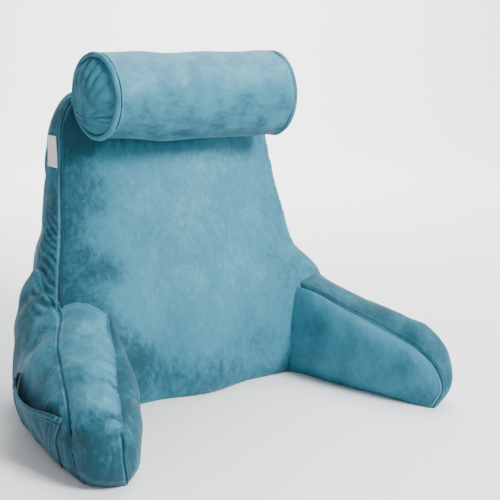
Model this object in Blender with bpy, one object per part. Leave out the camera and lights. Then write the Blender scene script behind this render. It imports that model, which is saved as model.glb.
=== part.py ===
"""Reading pillow with arms: a leaning back cushion, two splayed arms and a neck roll.

Frame: -Y to the front, +X to the right as seen from the front, +Z up, and the floor is z = 0.
All lengths are in metres. The tables count x from the middle of the back, and FRAME_SHIFT then
moves the whole pillow over its origin.

A boxed cushion is two panels joined by a boxing strip. Both seams of the strip are smooth
paths, called rims here, that run from the floor up, over the top and down to the floor again.
Each panel is a patch between its rim and the floor, swollen by its crown.
"""

import math

import bmesh
import bpy
import numpy as np
from mathutils import Matrix, Vector
from mathutils.bvhtree import BVHTree

# ---------------------------------------------------------------- driving dimensions
GAP = 0.0003                 # clearance between neighbouring pieces
PRESSED_GAP = 0.0006         # clearance where one cushion presses against another

ROLL_RADIUS = 0.0825
ROLL_HALF_LENGTH = 0.187     # middle of the roll to the middle of its piping
ROLL_CENTRE = (0.003, 0.063, 0.5735)
ROLL_DOME = 0.016            # how far a gathered end stands out past its piping
LEFT_END_TAPER = 0.055       # the -X end is drawn in by this share of its radius
LEFT_END_RISE = 0.006        # and lies higher by this
LEFT_END_REACH = 0.008       # and is longer by this
LEFT_END_SLANT = 0.100       # and its disc turns this far from square, metre per metre
ROLL_SIDES = 52
DOME_STEPS = 5
GROOVE_STEPS = 5
PIPING_RADIUS = 0.0046
PIPING_SINK = 0.0036         # how far the piping's middle lies inside the roll's surface
PIPING_SIDES = 8

BACK_PANEL_CROWN = 0.040     # middle of the front panel in front of its rim
BACK_REAR_CROWN = 0.014
GUSSET_CROWN = 0.024         # the back's side strips swell out by this
GUSSET_TOP_CROWN = 0.012
BACK_CELLS = (22, 9, 20)     # along, across and up

ARM_INNER_CROWN = 0.034
ARM_OUTER_CROWN = 0.0476
ARM_CELLS = (24, 8, 12)

# Each is a power and a skew: how steeply a panel swells from its seams, and where it is fullest.
BACK_FULLNESS = (((0.50, 1.0), (0.50, 1.0)), ((0.62, 1.0), (0.50, 1.0)))
BACK_CARRY = 0.2             # how far the bends of the back's side seams reach its middle
ARM_FULLNESS = (((0.70, 1.90), (0.45, 1.45)), ((0.56, 0.45), (0.62, 1.40)))

BURIED = 0.01                # how far a cutter reaches below the floor
FRAME_SHIFT = (0.0130, 0.0323, 0.0)  # puts the origin under the middle of the whole pillow

# Rims of the back, from the floor to the top middle. The other half is the mirror image.
# Columns: half width, y, z.
BACK_FRONT_RIM = (
    (0.270, 0.038, 0.000),
    (0.282, 0.020, 0.100),
    (0.290, 0.034, 0.200),
    (0.265, 0.088, 0.250),
    (0.249, 0.112, 0.320),
    (0.239, 0.129, 0.390),
    (0.230, 0.142, 0.460),
    (0.221, 0.152, 0.528),
    (0.200, 0.156, 0.564),
    (0.155, 0.160, 0.577),
    (0.000, 0.162, 0.582),
)
BACK_REAR_RIM = (
    (0.240, 0.212, 0.000),
    (0.256, 0.226, 0.100),
    (0.258, 0.234, 0.200),
    (0.246, 0.240, 0.250),
    (0.224, 0.247, 0.320),
    (0.207, 0.251, 0.400),
    (0.198, 0.253, 0.470),
    (0.183, 0.252, 0.527),
    (0.163, 0.249, 0.552),
    (0.120, 0.246, 0.564),
    (0.000, 0.245, 0.569),
)
SHOULDER_ROW = 8             # the row of both tables at the middle of the rounded shoulder
FRONT_BASE = ((0.270, 0.038), (0.204, 0.017), (0.100, 0.016), (0.000, -0.005))
REAR_BASE = ((0.240, 0.212), (0.110, 0.226), (0.000, 0.230))

# The arms, each as it is stuffed: side -1 has the pocket. A row's first number is how far out
# it lies from x = 0, its second is y and a rim's third is z. Rims run from the rear end, which
# the back covers, to the floor under the front end.
ARMS = {
    -1: {
        "inner_rim": (
            (0.100, 0.110, 0.000),
            (0.100, 0.110, 0.120),
            (0.120, 0.095, 0.170),
            (0.190, 0.045, 0.188),
            (0.222, -0.020, 0.184),
            (0.256, -0.108, 0.157),
            (0.294, -0.198, 0.127),
            (0.317, -0.259, 0.104),
            (0.330, -0.295, 0.076),
            (0.331, -0.304, 0.040),
            (0.318, -0.284, 0.000),
        ),
        "outer_rim": (
            (0.195, 0.165, 0.000),
            (0.195, 0.165, 0.160),
            (0.215, 0.185, 0.235),
            (0.276, 0.165, 0.255),
            (0.295, 0.090, 0.232),
            (0.300, 0.020, 0.203),
            (0.337, -0.072, 0.168),
            (0.362, -0.153, 0.138),
            (0.375, -0.200, 0.112),
            (0.383, -0.229, 0.076),
            (0.385, -0.237, 0.034),
            (0.375, -0.235, 0.000),
        ),
        "inner_base": ((0.100, 0.110), (0.206, 0.018), (0.242, -0.100), (0.273, -0.178),
                       (0.294, -0.254), (0.318, -0.284)),
        "outer_base": ((0.195, 0.165), (0.255, 0.214), (0.304, 0.188), (0.334, 0.142),
                       (0.354, 0.088), (0.364, 0.030), (0.372, -0.080), (0.376, -0.175),
                       (0.375, -0.235)),
    },
    1: {
        "inner_rim": (
            (0.100, 0.110, 0.000),
            (0.100, 0.110, 0.120),
            (0.120, 0.095, 0.170),
            (0.190, 0.045, 0.188),
            (0.222, -0.020, 0.184),
            (0.252, -0.110, 0.157),
            (0.283, -0.205, 0.127),
            (0.303, -0.268, 0.104),
            (0.314, -0.305, 0.076),
            (0.318, -0.320, 0.040),
            (0.308, -0.304, 0.000),
        ),
        "outer_rim": (
            (0.195, 0.165, 0.000),
            (0.195, 0.165, 0.140),
            (0.215, 0.185, 0.200),
            (0.276, 0.165, 0.222),
            (0.294, 0.090, 0.203),
            (0.301, 0.020, 0.178),
            (0.332, -0.080, 0.145),
            (0.352, -0.165, 0.131),
            (0.360, -0.215, 0.128),
            (0.366, -0.250, 0.098),
            (0.362, -0.264, 0.050),
            (0.350, -0.260, 0.000),
        ),
        "inner_base": ((0.100, 0.110), (0.206, 0.018), (0.240, -0.100), (0.268, -0.180),
                       (0.297, -0.275), (0.308, -0.304)),
        "outer_base": ((0.195, 0.165), (0.255, 0.214), (0.306, 0.188), (0.337, 0.142),
                       (0.357, 0.088), (0.368, 0.030), (0.375, -0.080), (0.370, -0.190),
                       (0.350, -0.260)),
    },
}
ARM_INNER_CORNERS = (2, 8)   # rows where the rim turns from rear end to top, and top to front
ARM_OUTER_CORNERS = (2, 9)
# Columns: share of the strip's run, crown.
ARM_STRIP_CROWNS = ((0.00, 0.012), (0.45, 0.014), (0.78, 0.028), (0.93, 0.021), (1.00, 0.010))

# The pocket on the -X arm: its spans and mouth as shares of the outer wall's length and height.
POCKET_FOOT_SPAN = (0.470, 0.900)
POCKET_MOUTH_SPAN = (0.500, 0.918)
POCKET_FOOT = 0.04
# Columns: share of the span, share of the wall's height.
POCKET_MOUTH = ((0.0, 0.47), (0.25, 0.47), (0.5, 0.54), (0.75, 0.65), (1.0, 0.88))
POCKET_THICKNESS = 0.0022
POCKET_GAPE = 0.021          # how far the empty mouth stands off the arm
POCKET_SEAM_OFFSET = 0.0013
POCKET_CELLS = (20, 1, 10)

# The label on the -X side strip of the back.
LABEL_FOOT = 0.445
LABEL_LENGTH = 0.058
LABEL_ACROSS = (0.015, 0.28)  # shares of the strip's width, from the front seam
LABEL_THICKNESS = 0.0010
LABEL_SEAM_OFFSET = 0.0006
LABEL_CELLS = (7, 1, 10)

VELVET = (0.105, 0.315, 0.385, 1.0)
LABEL_WHITE = (0.86, 0.86, 0.85, 1.0)


# ---------------------------------------------------------------- curves and patches
def smooth_path(points):
    """Returns a smooth curve through the points, over a share 0..1 of its length, and the
    share at which it passes each point."""
    points = np.asarray(points, dtype=float)
    steps = np.linalg.norm(np.diff(points, axis=0), axis=1)
    knots = np.concatenate(([0.0], np.cumsum(steps))) / steps.sum()
    slopes = np.gradient(points, knots, axis=0)

    def at(share):
        share = np.clip(np.asarray(share, dtype=float), 0.0, 1.0)
        left = np.clip(np.searchsorted(knots, share, side="right") - 1, 0, len(points) - 2)
        width = (knots[left + 1] - knots[left])[:, None]
        t = (share - knots[left])[:, None] / width
        keep = 2.0 * t ** 3 - 3.0 * t ** 2 + 1.0
        leave = t ** 3 - 2.0 * t ** 2 + t
        arrive = t ** 3 - t ** 2
        ends = keep * points[left] + (1.0 - keep) * points[left + 1]
        return ends + width * (leave * slopes[left] + arrive * slopes[left + 1])

    return at, knots


def swell(share, power=0.62, skew=1.0):
    """A crown's height over a share 0..1 of the way between two seams. A skew over 1 moves
    its fullest place towards the second seam."""
    share = np.clip(share, 0.0, 1.0) ** skew
    return (4.0 * share * (1.0 - share)) ** power


def normals_of(surface, u, v, step=1e-3):
    """Unit normals of surface(u, v), by differences."""
    u_low = np.clip(u - step, 0.0, 1.0)
    u_high = np.clip(u + step, 0.0, 1.0)
    v_low = np.clip(v - step, 0.0, 1.0)
    v_high = np.clip(v + step, 0.0, 1.0)
    along = surface(u_high, v) - surface(u_low, v)
    up = surface(u, v_high) - surface(u, v_low)
    normal = np.cross(along, up)
    length = np.linalg.norm(normal, axis=1, keepdims=True)
    return normal / np.maximum(length, 1e-12)


class BoxedCushion:
    """Two crowned panels, A and B, and the strip between their rims, standing on the floor."""

    def __init__(self, rims, corners, bases, crowns, strip_crown, fullness, carry):
        self.rims = []
        self.corners = []
        for points, rows in zip(rims, corners):
            rim, knots = smooth_path(points)
            self.rims.append(rim)
            self.corners.append((knots[rows[0]], knots[rows[1]]))
        self.bases = []
        for points in bases:
            flat = [(x, y, 0.0) for x, y in points]
            self.bases.append(smooth_path(flat)[0])
        self.crowns = crowns
        self.strip_crown = strip_crown
        self.fullness = fullness         # of each panel, along and up
        self.carry = carry               # how far the bends of its side seams reach its middle
        self.turns = self.outward_turns()

    def outward_turns(self):
        """+1 or -1 for panel A, panel B and the strip: the way their crowns swell outwards."""
        share = np.linspace(0.1, 0.9, 17)
        middle = np.full_like(share, 0.5)
        across = self.patch(1, share, middle) - self.patch(0, share, middle)
        turns = []
        for side, away in ((0, -across), (1, across)):
            normals = normals_of(lambda u, v, side=side: self.patch(side, u, v), share, middle)
            turns.append(math.copysign(1.0, np.sum(normals * away)))
        rim_middle = self.ruled_strip(share, middle)
        away = rim_middle - 0.5 * (self.patch(0, middle, middle) + self.patch(1, middle, middle))
        normals = normals_of(self.ruled_strip, share, middle)
        turns.append(math.copysign(1.0, np.sum(normals * away)))
        return turns

    def patch(self, side, along, up):
        """Panel side 0 or 1 without its crown: the Coons patch of its four edges."""
        rim = self.rims[side]
        first, second = self.corners[side]
        a = along[:, None]
        c = up[:, None]
        one = np.ones_like(along)
        rear = rim(up * first) - (1.0 - c) * rim(one * 0.0) - c * rim(one * first)
        front = rim(1.0 - up * (1.0 - second)) - (1.0 - c) * rim(one) - c * rim(one * second)
        top = rim(first + along * (second - first))
        foot = self.bases[side](along)
        fade = 1.0 - 4.0 * a * (1.0 - a) * (1.0 - self.carry)
        return (1.0 - c) * foot + c * top + fade * ((1.0 - a) * rear + a * front)

    def panel(self, side, along, up):
        """Panel side 0 or 1 with its crown."""
        def bare(u, v):
            return self.patch(side, u, v)
        inset = np.clip(along, 0.002, 0.998), np.clip(up, 0.002, 0.998)
        outward = normals_of(bare, *inset) * self.turns[side]
        along_fullness, up_fullness = self.fullness[side]
        height = self.crowns[side] * swell(along, *along_fullness) * swell(up, *up_fullness)
        return bare(along, up) + outward * height[:, None]

    def rim_share(self, side, run):
        """Maps a run 0..1 along the strip to each rim, so that the corners fall together."""
        first, second = self.corners[side]
        mean_first = 0.5 * (self.corners[0][0] + self.corners[1][0])
        mean_second = 0.5 * (self.corners[0][1] + self.corners[1][1])
        return np.interp(run, (0.0, mean_first, mean_second, 1.0), (0.0, first, second, 1.0))

    def ruled_strip(self, run, across):
        """The strip without its crown: straight across from rim to rim."""
        near = self.rims[0](self.rim_share(0, run))
        far = self.rims[1](self.rim_share(1, run))
        return near + (far - near) * across[:, None]

    def strip(self, run, across):
        """The strip, at a share of its run from floor to floor and of its width from A to B."""
        inset = np.clip(run, 0.002, 0.998)
        outward = normals_of(self.ruled_strip, inset, across) * self.turns[2]
        height = self.strip_crown(run) * swell(across)
        return self.ruled_strip(run, across) + outward * height[:, None]

    def form(self, along, across, up):
        """Maps points on the faces of a unit cube to the cushion."""
        mean_first = 0.5 * (self.corners[0][0] + self.corners[1][0])
        mean_second = 0.5 * (self.corners[0][1] + self.corners[1][1])
        at_foot = up < 1e-6
        on_top = up > 1.0 - 1e-6
        at_rear = along < 1e-6
        at_front = along > 1.0 - 1e-6
        run = np.where(at_rear, up * mean_first, 1.0 - up * (1.0 - mean_second))
        run = np.where(on_top, mean_first + along * (mean_second - mean_first), run)
        base_a = self.bases[0](along)
        base_b = self.bases[1](along)
        points = base_a + (base_b - base_a) * across[:, None]
        for side in (0, 1):
            here = (np.abs(across - side) < 1e-6) & ~at_foot
            points[here] = self.panel(side, along[here], up[here])
        here = (on_top | at_rear | at_front) & ~at_foot
        points[here] = self.strip(run[here], across[here])
        points[:, 2] = np.maximum(points[:, 2], 0.0)
        points[at_foot, 2] = 0.0
        return points


# ---------------------------------------------------------------- mesh helpers
def unit_cube(cells):
    """A unit cube, 0..1 each way, cut into the given number of cells along X, Y and Z."""
    cage = bmesh.new()
    bmesh.ops.create_cube(cage, size=1.0)
    bmesh.ops.translate(cage, verts=cage.verts, vec=(0.5, 0.5, 0.5))
    for axis, count in enumerate(cells):
        if count < 2:
            continue
        parallel = []
        for edge in cage.edges:
            span = edge.verts[1].co - edge.verts[0].co
            if abs(span[axis]) > 0.5:
                parallel.append(edge)
        bmesh.ops.subdivide_edges(cage, edges=parallel, cuts=count - 1, use_grid_fill=True)
    return cage


def mapped_mesh(name, cells, form):
    """A closed mesh: a cut unit cube whose points are moved by form(x, y, z)."""
    cage = unit_cube(cells)
    grid = np.array([vert.co[:] for vert in cage.verts])
    points = form(grid[:, 0], grid[:, 1], grid[:, 2])
    for vert, point in zip(cage.verts, points):
        vert.co = point
    bmesh.ops.recalc_face_normals(cage, faces=cage.faces)
    bmesh.ops.triangulate(cage, faces=cage.faces)
    mesh = bpy.data.meshes.new(name)
    cage.to_mesh(mesh)
    cage.free()
    return mesh


def tree_of(mesh):
    """A search tree over a mesh's faces."""
    faces = [tuple(face.vertices) for face in mesh.polygons]
    return BVHTree.FromPolygons([vert.co for vert in mesh.vertices], faces)


def material(name, colour, roughness, metallic=0.0):
    """A plain Principled material."""
    made = bpy.data.materials.new(name)
    made.use_nodes = True
    shader = made.node_tree.nodes["Principled BSDF"]
    shader.inputs["Base Color"].default_value = colour
    shader.inputs["Roughness"].default_value = roughness
    shader.inputs["Metallic"].default_value = metallic
    return made


def place(name, mesh, finish, collection):
    """Puts a mesh in the collection as an object with its own material, shaded smooth."""
    piece = bpy.data.objects.new(name, mesh)
    mesh.materials.append(finish)
    mesh.shade_smooth()
    mesh.set_sharp_from_angle(angle=math.radians(50.0))
    collection.objects.link(piece)
    return piece


def new_collection(name):
    """A collection in the scene."""
    made = bpy.data.collections.new(name)
    bpy.context.scene.collection.children.link(made)
    return made


# ---------------------------------------------------------------- the forms
def mirrored_rim(rows):
    """A whole rim of the back from the rows of its -X half."""
    left = [(-half_width, y, z) for half_width, y, z in rows]
    right = [(half_width, y, z) for half_width, y, z in reversed(rows[:-1])]
    return left + right


def mirrored_base(rows):
    """A whole floor line of the back from the rows of its -X half."""
    left = [(-half_width, y) for half_width, y in rows]
    right = [(half_width, y) for half_width, y in reversed(rows[:-1])]
    return left + right


def back_form():
    """The back cushion's surface."""
    last = 2 * (len(BACK_FRONT_RIM) - 1)
    corners = (SHOULDER_ROW, last - SHOULDER_ROW)

    def gusset_crown(run):
        towards_top = swell(run, 3.0)
        return GUSSET_CROWN + (GUSSET_TOP_CROWN - GUSSET_CROWN) * towards_top

    return BoxedCushion(
        rims=(mirrored_rim(BACK_FRONT_RIM), mirrored_rim(BACK_REAR_RIM)),
        corners=(corners, corners),
        bases=(mirrored_base(FRONT_BASE), mirrored_base(REAR_BASE)),
        crowns=(BACK_PANEL_CROWN, BACK_REAR_CROWN),
        strip_crown=gusset_crown,
        fullness=BACK_FULLNESS,
        carry=BACK_CARRY,
    )


def arm_form(side):
    """The surface of the arm at side +1 or -1 of the seat."""
    arm = ARMS[side]

    def placed(rows):
        return [(side * row[0],) + tuple(row[1:]) for row in rows]

    def strip_crown(run):
        shares, crowns = zip(*ARM_STRIP_CROWNS)
        return np.interp(run, shares, crowns)

    return BoxedCushion(
        rims=(placed(arm["inner_rim"]), placed(arm["outer_rim"])),
        corners=(ARM_INNER_CORNERS, ARM_OUTER_CORNERS),
        bases=(placed(arm["inner_base"]), placed(arm["outer_base"])),
        crowns=(ARM_INNER_CROWN, ARM_OUTER_CROWN),
        strip_crown=strip_crown,
        fullness=ARM_FULLNESS,
        carry=1.0,
    )


def left_end_weight(along):
    """How far the roll's shaping has come, from 0 at its middle to 1 at its -X end."""
    share = np.clip(-along / ROLL_HALF_LENGTH, 0.0, 1.1)
    return share ** 2 * (3.0 - 2.0 * np.minimum(share, 1.0))


# ---------------------------------------------------------------- the pieces
def cutter_of(piece, cutters):
    """A copy of a piece, one clearance larger. Where it stands on the floor it reaches below."""
    mesh = piece.data.copy()
    for vert in mesh.vertices:
        on_floor = (piece.matrix_basis @ vert.co).z < 1e-6
        vert.co += vert.normal * PRESSED_GAP
        if on_floor:
            vert.co.z = -BURIED
    cutter = bpy.data.objects.new(piece.name + "_cutter", mesh)
    cutter.location = piece.location
    cutter.hide_render = True
    cutter.display_type = "WIRE"
    cutters.objects.link(cutter)
    return cutter


def press(piece, cutter):
    """Hollows a piece where its neighbour presses against it."""
    cut = piece.modifiers.new("pressed_by_" + cutter.name, "BOOLEAN")
    cut.operation = "DIFFERENCE"
    cut.solver = "EXACT"
    cut.object = cutter


def build_back(collection):
    """The back cushion."""
    mesh = mapped_mesh("back_cushion", BACK_CELLS, back_form().form)
    return place("back_cushion", mesh, material("back_velvet", VELVET, 0.85), collection)


def build_arm(side, collection):
    """An arm, whole."""
    name = "arm_right" if side > 0 else "arm_left"
    mesh = mapped_mesh(name, ARM_CELLS, arm_form(side).form)
    return place(name, mesh, material(name + "_velvet", VELVET, 0.85), collection)


def roll_profile():
    """The roll's profile as (distance along its axis, radius), from end to end. Both ends are
    domed, and a groove round each rim holds the piping."""
    rim = ROLL_RADIUS - PIPING_SINK
    groove = PIPING_RADIUS + 2.0 * GAP
    half = []
    for step in range(DOME_STEPS + 1):
        angle = 0.5 * math.pi * step / DOME_STEPS
        along = ROLL_HALF_LENGTH + ROLL_DOME * math.cos(angle) ** 2
        half.append((along, (rim - groove) * math.sin(angle)))
    groove_start = -0.5 * math.pi
    groove_end = -math.pi - math.asin(PIPING_SINK / groove)
    for step in range(1, GROOVE_STEPS + 1):
        angle = groove_start + (groove_end - groove_start) * step / GROOVE_STEPS
        half.append((ROLL_HALF_LENGTH + groove * math.cos(angle), rim + groove * math.sin(angle)))
    half.append((0.5 * ROLL_HALF_LENGTH, ROLL_RADIUS))
    other = [(-along, radius) for along, radius in reversed(half)]
    return half + other


def soft_roll(points):
    """Moves points of a true cylinder, whose axis is X, to the roll as it is stuffed: its -X end
    is drawn in a little, longer, and slanted, because it is fuller behind than in front."""
    weight = left_end_weight(points[:, 0])
    moved = points.copy()
    moved[:, 1:] *= (1.0 - LEFT_END_TAPER * weight)[:, None]
    moved[:, 2] += LEFT_END_RISE * weight
    moved[:, 0] -= weight * (LEFT_END_REACH + LEFT_END_SLANT * points[:, 1])
    return moved


def shape_as_roll(mesh):
    """Moves the points of a mesh built round the X axis to the stuffed roll's shape."""
    grid = np.array([vert.co[:] for vert in mesh.vertices])
    for vert, point in zip(mesh.vertices, soft_roll(grid)):
        vert.co = point


def build_roll(collection):
    """The neck roll: the profile turned about X, then shaped."""
    turned = bmesh.new()
    verts = [turned.verts.new((along, 0.0, radius)) for along, radius in roll_profile()]
    edges = [turned.edges.new(pair) for pair in zip(verts, verts[1:])]
    bmesh.ops.spin(
        turned,
        geom=verts + edges,
        cent=(0.0, 0.0, 0.0),
        axis=(1.0, 0.0, 0.0),
        angle=math.tau,
        steps=ROLL_SIDES,
        use_merge=True,
    )
    bmesh.ops.remove_doubles(turned, verts=turned.verts, dist=0.00002)
    bmesh.ops.recalc_face_normals(turned, faces=turned.faces)
    mesh = bpy.data.meshes.new("neck_roll")
    turned.to_mesh(mesh)
    turned.free()
    shape_as_roll(mesh)
    roll = place("neck_roll", mesh, material("roll_velvet", VELVET, 0.85), collection)
    roll.location = ROLL_CENTRE
    return roll


def build_piping(side, collection):
    """The piping round one end of the roll, seated in its groove."""
    name = "roll_piping_right" if side > 0 else "roll_piping_left"
    bpy.ops.mesh.primitive_torus_add(
        major_radius=ROLL_RADIUS - PIPING_SINK,
        minor_radius=PIPING_RADIUS,
        major_segments=ROLL_SIDES,
        minor_segments=PIPING_SIDES,
    )
    ring = bpy.context.active_object
    mesh = ring.data.copy()
    mesh.name = name
    bpy.data.objects.remove(ring)
    mesh.transform(Matrix.Rotation(0.5 * math.pi, 4, "Y"))
    mesh.transform(Matrix.Translation((side * ROLL_HALF_LENGTH, 0.0, 0.0)))
    shape_as_roll(mesh)
    piping = place(name, mesh, material(name + "_velvet", VELVET, 0.8), collection)
    piping.location = ROLL_CENTRE
    return piping


def laid_on(tree, points, outward, height):
    """Points that lie at a height off a piece's facets, near the given points."""
    laid = []
    for point, normal, rise in zip(points, outward, height):
        nearest = tree.find_nearest(Vector(point))[0]
        laid.append(nearest + Vector(normal) * rise)
    return np.array([point[:] for point in laid])


def build_pocket(collection):
    """The patch pocket on the outer wall of the -X arm: sewn on three sides, its mouth open."""
    arm = arm_form(-1)
    wall_mesh = mapped_mesh("pocket_wall", ARM_CELLS, arm.form)
    tree = tree_of(wall_mesh)
    mouth_line = smooth_path([(share, height, 0.0) for share, height in POCKET_MOUTH])[0]

    def wall(along, up):
        return arm.panel(1, along, up)

    def form(along, across, up):
        mouth = mouth_line(along)[:, 1]
        rear = POCKET_FOOT_SPAN[0] + (POCKET_MOUTH_SPAN[0] - POCKET_FOOT_SPAN[0]) * up
        front = POCKET_FOOT_SPAN[1] + (POCKET_MOUTH_SPAN[1] - POCKET_FOOT_SPAN[1]) * up
        share_along = rear + (front - rear) * along
        share_up = POCKET_FOOT + (mouth - POCKET_FOOT) * up
        outward = normals_of(arm_wall_bare(arm), share_along, share_up) * arm.turns[1]
        gape = POCKET_GAPE * swell(along, 0.9) * up ** 1.5
        height = POCKET_SEAM_OFFSET + gape + POCKET_THICKNESS * across
        return laid_on(tree, wall(share_along, share_up), outward, height)

    mesh = mapped_mesh("pocket_panel", POCKET_CELLS, form)
    bpy.data.meshes.remove(wall_mesh)
    return place("pocket_panel", mesh, material("pocket_velvet", VELVET, 0.85), collection)


def arm_wall_bare(arm):
    """An arm's outer wall without its crown, where normals turn gently."""
    def bare(along, up):
        return arm.patch(1, along, up)
    return bare


def build_label(back, collection):
    """The blank woven label, sewn flat on the -X side strip beside the front seam."""
    cushion = back_form()
    tree = tree_of(back.data)
    runs = np.linspace(0.0, 0.5, 201)
    heights = cushion.strip(runs, np.full_like(runs, 0.1))[:, 2]
    run_span = np.interp((LABEL_FOOT, LABEL_FOOT + LABEL_LENGTH), heights, runs)

    def form(along, across, up):
        run = run_span[0] + (run_span[1] - run_span[0]) * up
        share = LABEL_ACROSS[0] + (LABEL_ACROSS[1] - LABEL_ACROSS[0]) * along
        outward = normals_of(cushion.ruled_strip, run, share) * cushion.turns[2]
        height = LABEL_SEAM_OFFSET + LABEL_THICKNESS * across
        return laid_on(tree, cushion.strip(run, share), outward, height)

    mesh = mapped_mesh("label", LABEL_CELLS, form)
    return place("label", mesh, material("label_white", LABEL_WHITE, 0.6), collection)


def main():
    """Builds every piece."""
    for old in list(bpy.data.objects):
        bpy.data.objects.remove(old)
    pillow = new_collection("reading_pillow")
    cutters = new_collection("cutters")
    back = build_back(pillow)
    back_cutter = cutter_of(back, cutters)
    for side in (-1, 1):
        press(build_arm(side, pillow), back_cutter)
    press(back, cutter_of(build_roll(pillow), cutters))
    for side in (-1, 1):
        build_piping(side, pillow)
    build_pocket(pillow)
    build_label(back, pillow)
    for piece in list(pillow.objects) + list(cutters.objects):
        piece.location += Vector(FRAME_SHIFT)


main()
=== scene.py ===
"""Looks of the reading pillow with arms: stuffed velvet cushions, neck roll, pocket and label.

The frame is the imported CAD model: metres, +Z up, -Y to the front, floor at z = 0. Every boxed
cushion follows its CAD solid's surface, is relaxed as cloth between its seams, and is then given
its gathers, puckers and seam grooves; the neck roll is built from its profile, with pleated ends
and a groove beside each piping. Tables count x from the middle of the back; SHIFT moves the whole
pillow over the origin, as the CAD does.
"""

from __future__ import annotations

import logging
import math
from dataclasses import dataclass
from enum import Enum
from typing import Callable

import bmesh
import bpy
import numpy as np
from mathutils import Euler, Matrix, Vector
from mathutils.bvhtree import BVHTree
from mathutils.kdtree import KDTree


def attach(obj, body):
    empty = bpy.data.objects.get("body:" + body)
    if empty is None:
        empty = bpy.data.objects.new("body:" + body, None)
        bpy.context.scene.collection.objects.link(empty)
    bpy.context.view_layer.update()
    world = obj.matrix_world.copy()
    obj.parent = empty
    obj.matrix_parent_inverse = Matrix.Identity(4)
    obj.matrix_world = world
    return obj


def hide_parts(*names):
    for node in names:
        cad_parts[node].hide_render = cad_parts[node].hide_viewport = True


logging.basicConfig(level=logging.INFO, format="%(name)s: %(message)s")
LOG = logging.getLogger("reading_pillow")

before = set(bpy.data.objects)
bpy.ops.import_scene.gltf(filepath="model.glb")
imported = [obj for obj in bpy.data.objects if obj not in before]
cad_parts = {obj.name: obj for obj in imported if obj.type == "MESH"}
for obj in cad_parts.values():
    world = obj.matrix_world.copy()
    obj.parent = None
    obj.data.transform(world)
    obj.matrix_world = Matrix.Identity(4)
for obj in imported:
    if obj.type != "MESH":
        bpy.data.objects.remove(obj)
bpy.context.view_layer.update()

Array = np.ndarray
Fullness = tuple[tuple[float, float], tuple[float, float]]
SHIFT = np.array((0.0130, 0.0323, 0.0))
CAMERA_PLACE = (-0.9384, -1.5696, 0.6924)
CAMERA_YAW = 33.2
CAMERA_PITCH = 12.3
CAMERA_LENS = 72.0
STITCH_LENGTH = 0.0036
FAR_FROM_SEAM = 0.05
TINY = 1e-6
SHARES = ("along", "across", "up")


# ------------------------------------------------------------------ curves and small maths
def smooth_path(points: Array) -> tuple[Callable[[Array], Array], Array]:
    """Makes a smooth curve through points.

    Args:
        points: rows of coordinates.

    Returns:
        A function from a share 0..1 of the curve's length to points, and the share at which it
        passes each given point.
    """
    points = np.asarray(points, dtype=float)
    steps = np.linalg.norm(np.diff(points, axis=0), axis=1)
    knots = np.concatenate(([0.0], np.cumsum(steps))) / steps.sum()
    slopes = np.gradient(points, knots, axis=0)

    def at(share: Array) -> Array:
        """Points at shares of the length.

        Args:
            share: shares of the length, 0 to 1.

        Returns:
            One point a row.
        """
        share = np.clip(np.asarray(share, dtype=float), 0.0, 1.0)
        left = np.clip(np.searchsorted(knots, share, side="right") - 1, 0, len(points) - 2)
        width = (knots[left + 1] - knots[left])[:, None]
        t = (share - knots[left])[:, None] / width
        keep = 2.0 * t ** 3 - 3.0 * t ** 2 + 1.0
        leave = t ** 3 - 2.0 * t ** 2 + t
        arrive = t ** 3 - t ** 2
        ends = keep * points[left] + (1.0 - keep) * points[left + 1]
        return ends + width * (leave * slopes[left] + arrive * slopes[left + 1])

    return at, knots


def swell(share: Array, power: float = 0.62, skew: float = 1.0) -> Array:
    """A crown's height over a share 0..1 of the way between two seams.

    Args:
        share: the share of the way.
        power: how steeply it rises from the seams.
        skew: over 1 moves the fullest place towards the second seam.

    Returns:
        Heights from 0 to 1.
    """
    share = np.clip(share, 0.0, 1.0) ** skew
    return (4.0 * share * (1.0 - share)) ** power


def smooth_step(value: Array, low: float, high: float) -> Array:
    """0 below low, 1 above high, and smooth between; high may be the smaller one."""
    t = np.clip((value - low) / (high - low), 0.0, 1.0)
    return t * t * (3.0 - 2.0 * t)


def bell(value: Array, middle: float, width: float) -> Array:
    """A smooth bump of height 1 at the middle, gone at about twice the width."""
    return np.exp(-((value - middle) / width) ** 2)


def soft_noise(points: Array, size: float, seed: int, waves: int = 9) -> Array:
    """Smooth seeded noise, about -1 to 1, made of plane waves in fixed directions.

    Args:
        points: rows of coordinates.
        size: rough distance from one swell to the next, in metres.
        seed: picks the pattern.
        waves: how many waves are added.

    Returns:
        One value a row.
    """
    picker = np.random.default_rng(seed)
    total = np.zeros(len(points))
    for _ in range(waves):
        direction = picker.normal(size=points.shape[1])
        direction /= np.linalg.norm(direction)
        stretch = picker.uniform(0.7, 1.5)
        phase = picker.uniform(0.0, math.tau)
        total += np.cos(points @ direction * (math.tau * stretch / size) + phase)
    return total / math.sqrt(waves)


def normals_of(surface: Callable[[Array, Array], Array], u: Array, v: Array) -> Array:
    """Unit normals of surface(u, v), by differences.

    Args:
        surface: maps two shares 0..1 to points.
        u: first shares.
        v: second shares.

    Returns:
        One unit normal a row.
    """
    step = 1e-3
    low_u = np.clip(u - step, 0.0, 1.0)
    high_u = np.clip(u + step, 0.0, 1.0)
    low_v = np.clip(v - step, 0.0, 1.0)
    high_v = np.clip(v + step, 0.0, 1.0)
    along = surface(high_u, v) - surface(low_u, v)
    up = surface(u, high_v) - surface(u, low_v)
    normal = np.cross(along, up)
    length = np.linalg.norm(normal, axis=1, keepdims=True)
    return normal / np.maximum(length, 1e-12)


# ------------------------------------------------------------------ mesh helpers
def read_points(mesh: bpy.types.Mesh) -> Array:
    """The mesh's vertex places as rows."""
    flat = np.empty(len(mesh.vertices) * 3, dtype=np.float32)
    mesh.vertices.foreach_get("co", flat)
    return flat.reshape(-1, 3).astype(float)


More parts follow.
